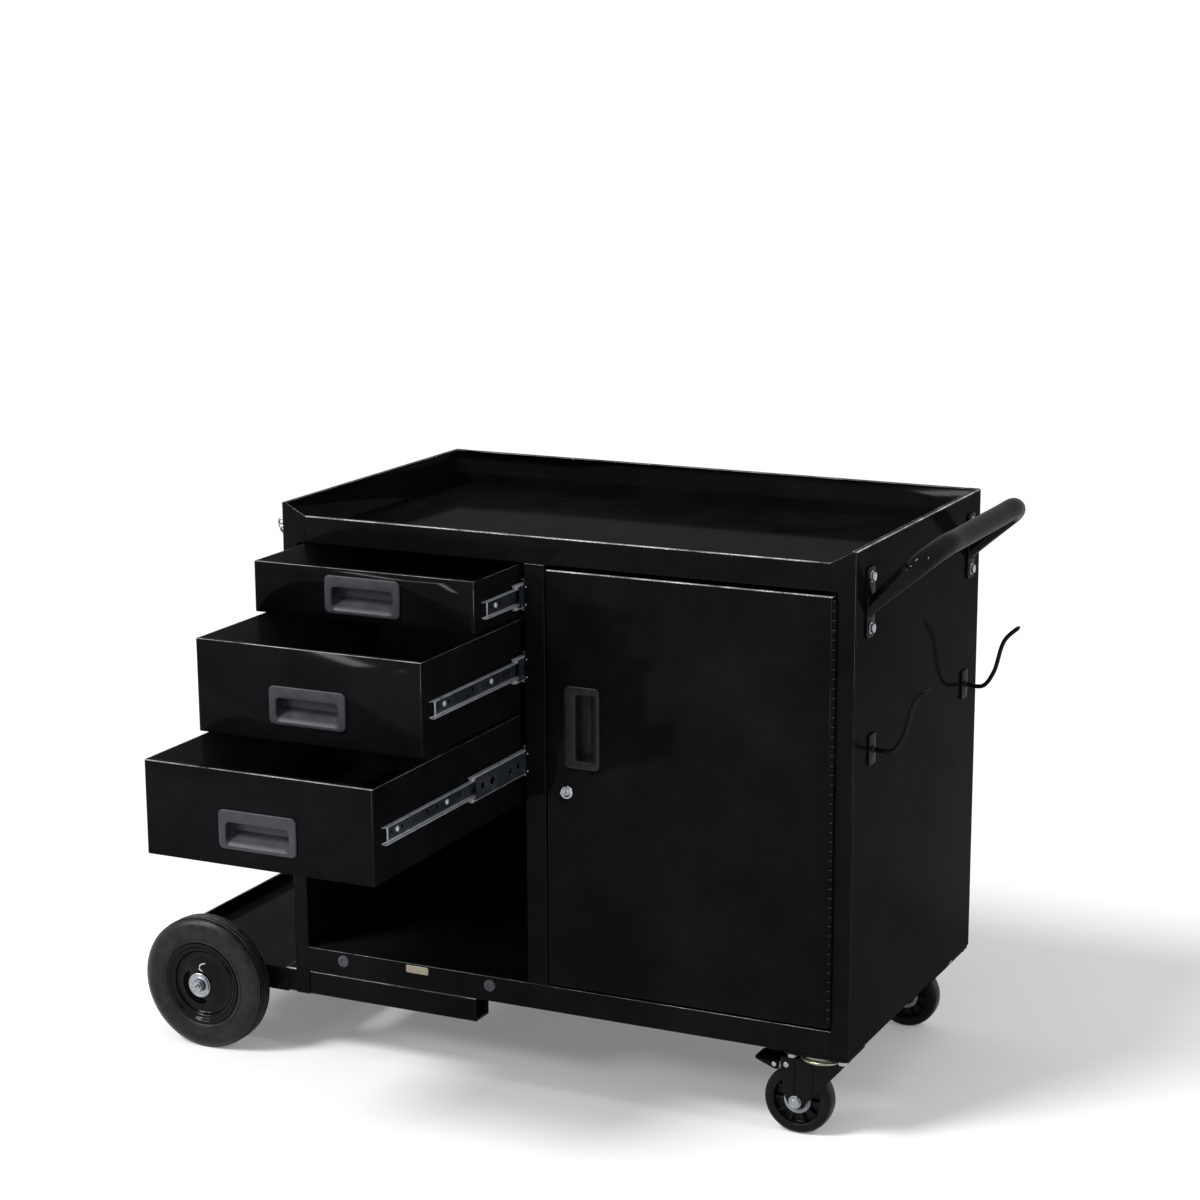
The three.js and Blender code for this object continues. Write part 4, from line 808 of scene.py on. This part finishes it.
face = millimetres("right_side_panel")[1][0]
plate_back, plate_front = face + 0.3, face + 3.3
plate_y, plate_half, plate_low, plate_high, bolt_levels = 49, 15, 730.5, 829.5, (744, 816)
tube_radius, end_height, taper = 15.5, 22, 105
bar_x, bar_z = face + 84.5, 852.5
foot = np.array([(plate_back + plate_front) / 2, plate_y, 773])
arm = np.array([face + 85 - tube_radius, 61, 853 - tube_radius]) - foot
half_path = [tuple(foot + share * arm) for share in (-0.06, 0.2, 0.5, 0.8, 1)]
half_path += [(bar_x, 111, bar_z), (bar_x, 173, bar_z)]
whole_path = half_path + [(x, depth - y, z) for x, y, z in reversed(half_path)]
loops = round_bar(through(whole_path, 12), tube_radius, sides=48)
# The tube is pressed square to the arm: its height there eases from the end's to the full one.
ahead = np.array([arm[0], arm[2]]) / np.hypot(arm[0], arm[2])
across = np.array([-ahead[1], ahead[0]])
offset = loops[..., [0, 2]] - foot[[0, 2]]
along, height = offset @ ahead, offset @ across
full = np.clip(along / taper, 0, 1)
full = full * full * (3 - 2 * full)
height *= (1 - full) * end_height / (2 * tube_radius) + full
loops[..., [0, 2]] = foot[[0, 2]] + along[..., None] * ahead + height[..., None] * across
loops[..., 0] = np.maximum(loops[..., 0], foot[0])
shells = [skin(loops)]
end_loops = 30
for middle, part in ((plate_y, loops[:end_loops]), (depth - plate_y, loops[:-end_loops - 1:-1])):
    plate = rectangle(middle - plate_half, middle + plate_half, plate_low, plate_high, 8)
    shells.append(slab(plate, plate_back, plate_front, 0.5, axes=(1, 2, 0)))
    # The weld bead lies where each line of the tube leaves the plate.
    bead_x = plate_front + 0.2
    bead = [
        [np.interp(bead_x, line[:, 0], line[:, axis]) for axis in (0, 1, 2)] for line in part.swapaxes(0, 1)
    ]
    shells.append(skin(round_bar(bead, 1.7, sides=10, closed=True), ring=True))
piece("push_handle_tube", shells, tube_coat, "black_powder_coat", "cabinet", "push_handle")
handle_washer = [(0.2, -0.4), (8, -0.4), (8, 0.7), (7.6, 1), (0.2, 1)]
shells = []
for middle in (plate_y, depth - plate_y):
    for level in bolt_levels:
        head = hexagon(12, (middle, level))
        shells.append(slab(head, plate_front + 0.8, plate_front + 5.4, 0.6, axes=(1, 2, 0)))
        shells.append(turned(handle_washer, (plate_front, middle, level), (1, 0, 0), sides=32))
piece("push_handle_bolts", shells, zinc_plate, "zinc", "cabinet")

hook_y, pad_half_width, pad_half_height, rod_radius = 65, 13, 22, 3.2
weld_profile = [(0.2, 0), (3.2, 0), (5.4, 0.2), (5.2, 1.6), (4.2, 3), (3.2, 4), (0.2, 4)]
for place, middle in (("front", hook_y), ("rear", depth - hook_y)):
    level = millimetres(f"cable_hook_{place}")[0][2] + pad_half_height
    bends = [(1.8, 0), (31.1, 0), (47.5, 22), (63.7, 73.5), (86.6, 97)]
    path = through([(face + reach, middle, level + climb) for reach, climb in bends], 14)
    thick = np.full(len(path), rod_radius)
    thick[-3:] = (3.0, 2.4, 0.8)
    pad = rectangle(middle - pad_half_width, middle + pad_half_width, level - pad_half_height,
                    level + pad_half_height, 5)
    shells = [
        slab(pad, plate_back, plate_front, 0.5, axes=(1, 2, 0)),
        skin(round_bar(path, thick, sides=20)),
        turned(weld_profile, (face + 3.2, middle, level), (1, 0, 0), sides=28),
    ]
    piece(f"cable_hook_{place}_rod", shells, tube_coat, "black_powder_coat", "cabinet",
          f"cable_hook_{place}")


# Tie chain: welded links of zinc-plated wire, hung in a free curve between two bent staples on the
# left panel.

staple_radius, corner_points = 3, 9
for place in ("front", "rear"):
    low, high = millimetres(f"chain_eye_{place}")
    hang_x, hang_z = low[0] + staple_radius, (low[2] + high[2]) / 2
    near, far = low[1] + staple_radius, high[1] - staple_radius
    corners = [(high[0], near), (hang_x, near), (hang_x, far), (high[0], far)]
    bend = rounded(corners, [0, 6, 6, 0], corner_points)[corner_points - 1:1 - corner_points]
    path = np.stack([bend[:, 0], bend[:, 1], np.full(len(bend), hang_z)], -1)
    staple = skin(round_bar(path, staple_radius, sides=20))
    piece(f"chain_eye_{place}_staple", [staple], zinc_plate, "zinc", "cabinet", f"chain_eye_{place}")

# The links' centres lie on a catenary: height = curve * cosh(along / curve). Its curve is found by
# halving until the line between the staples has the chain's length.
links, pitch, end_slack = 33, 22.6, 3.5
link_round, link_straight, wire_radius = 7.15, 6, 1.85
staple_low, staple_high = millimetres("chain_eye_front")
span = depth - (staple_low[1] + staple_high[1])
length = (links - 1) * pitch + 2 * end_slack
least, most = 0.05 * span, 10 * span
for _ in range(60):
    curve = (least + most) / 2
    if 2 * curve * math.sinh(span / (2 * curve)) > length:
        least = curve
    else:
        most = curve
lowest = hang_z - curve * (math.cosh(span / (2 * curve)) - 1)
turn = np.linspace(0, 2 * np.pi, 28, endpoint=False)
oval_along = link_round * np.cos(turn) + link_straight * np.sign(np.cos(turn))
oval_across = link_round * np.sin(turn)
shells = []
for index in range(links):
    along = curve * math.asinh((index - (links - 1) / 2) * pitch / curve)
    slope = math.atan(math.sinh(along / curve))
    ahead = np.array([0, math.cos(slope), math.sin(slope)])
    across = np.array([1, 0, 0] if index % 2 == 0 else [0, -math.sin(slope), math.cos(slope)])
    centre = np.array([hang_x, depth / 2 + along, lowest + curve * (math.cosh(along / curve) - 1)])
    path = centre + oval_along[:, None] * ahead + oval_across[:, None] * across
    shells.append(skin(round_bar(path, wire_radius, sides=12, closed=True), ring=True))
piece("cylinder_chain_links", shells, zinc_plate, "zinc", "chain", "cylinder_chain")


# Stage: a plain pale floor of painted board under a broad sky panel and two softboxes, inside a white
# surround that the camera and mirrors see. The floor keeps the shadow.

def looked_at(tree):
    """One for the rays of the camera, of mirrors and of glass, and none for scattered light."""
    path = add(tree, "LightPath").outputs
    seen = path["Is Camera Ray"]
    for ray in ("Is Glossy Ray", "Is Transmission Ray"):
        seen = add(tree, "Math", operation="MAXIMUM", in_0=seen, in_1=path[ray]).outputs[0]
    return seen


floor_reach = 400.0
floor_corners = [(floor_reach * x, floor_reach * y, 0) for x, y in ((-1, -1), (1, -1), (1, 1), (-1, 1))]
floor_mesh = bpy.data.meshes.new("floor")
floor_mesh.from_pydata(floor_corners, [], [(0, 1, 2, 3)])
floor = bpy.data.objects.new("floor", floor_mesh)
bpy.context.scene.collection.objects.link(floor)
# Matt pale paint: even and without shine. It glows faintly where it is looked at, so it stays white.
floor_paint = surface(
    "painted_studio_floor", "#e6e6e6", "#eaeaea", patch=400, grain=4, gloss=(0.85, 0.95), relief=0.02,
    Specular_IOR_Level=0.0, Emission_Color=linear("#ffffff"),
)
glow = add(floor_paint.node_tree, "MapRange", Value=looked_at(floor_paint.node_tree), To_Max=0.17)
floor_shader = floor_paint.node_tree.nodes["Principled BSDF"]
floor_paint.node_tree.links.new(glow.outputs[0], floor_shader.inputs["Emission Strength"])
floor_mesh.materials.append(floor_paint)

# The surround is white where it is looked at and gives about half as much light to the object.
world = bpy.data.worlds.new("studio")
bpy.context.scene.world = world
world.use_nodes = True
level = add(world.node_tree, "MapRange", Value=looked_at(world.node_tree), To_Min=0.55, To_Max=1.0)
background = world.node_tree.nodes["Background"]
background.inputs["Color"].default_value = linear("#ffffff")
world.node_tree.links.new(level.outputs[0], background.inputs["Strength"])


def lamp(name, kind, energy, place, target, **settings):
    """A lamp at a place, turned to shine at the target."""
    light = bpy.data.lights.new(name, kind)
    light.energy = energy
    for setting, value in settings.items():
        setattr(light, setting, value)
    made = bpy.data.objects.new(name, light)
    bpy.context.scene.collection.objects.link(made)
    made.location = place
    aim = np.array(target) - np.array(place)
    made.rotation_euler = (math.acos(-aim[2] / np.linalg.norm(aim)), 0, math.atan2(-aim[0], aim[1]))


lamp("sky_panel", "SUN", energy=2.0, place=(-2.2, -3.0, 5.0), target=(0, 0, 0.4), angle=math.radians(16))
lamp("left_softbox", "AREA", energy=55, place=(-2.6, -2.6, 1.9), target=(0, 0, 0.5),
     shape="RECTANGLE", size=1.4, size_y=0.25)
lamp("right_softbox", "AREA", energy=18, place=(3.0, -0.6, 2.6), target=(0.2, 0, 0.5),
     shape="RECTANGLE", size=0.3, size_y=0.7)

# The camera's place in cabinet millimetres, its angles in degrees and its lens were solved from the
# cabinet's corners.
camera_place = np.array([2150.44, -3400.48, 1585.87])
camera_dip, camera_heading = 13.0882, 24.5807
camera = bpy.data.objects.new("camera", bpy.data.cameras.new("camera"))
bpy.context.scene.collection.objects.link(camera)
camera.location = origin + camera_place / 1000
camera.rotation_euler = (math.radians(90 - camera_dip), 0, math.radians(camera_heading))
camera.data.sensor_width = 36
camera.data.lens = 82.63
camera.data.shift_x = -0.0417
camera.data.shift_y = 0.0281
bpy.context.scene.camera = camera
bpy.context.scene.view_settings.view_transform = "Standard"
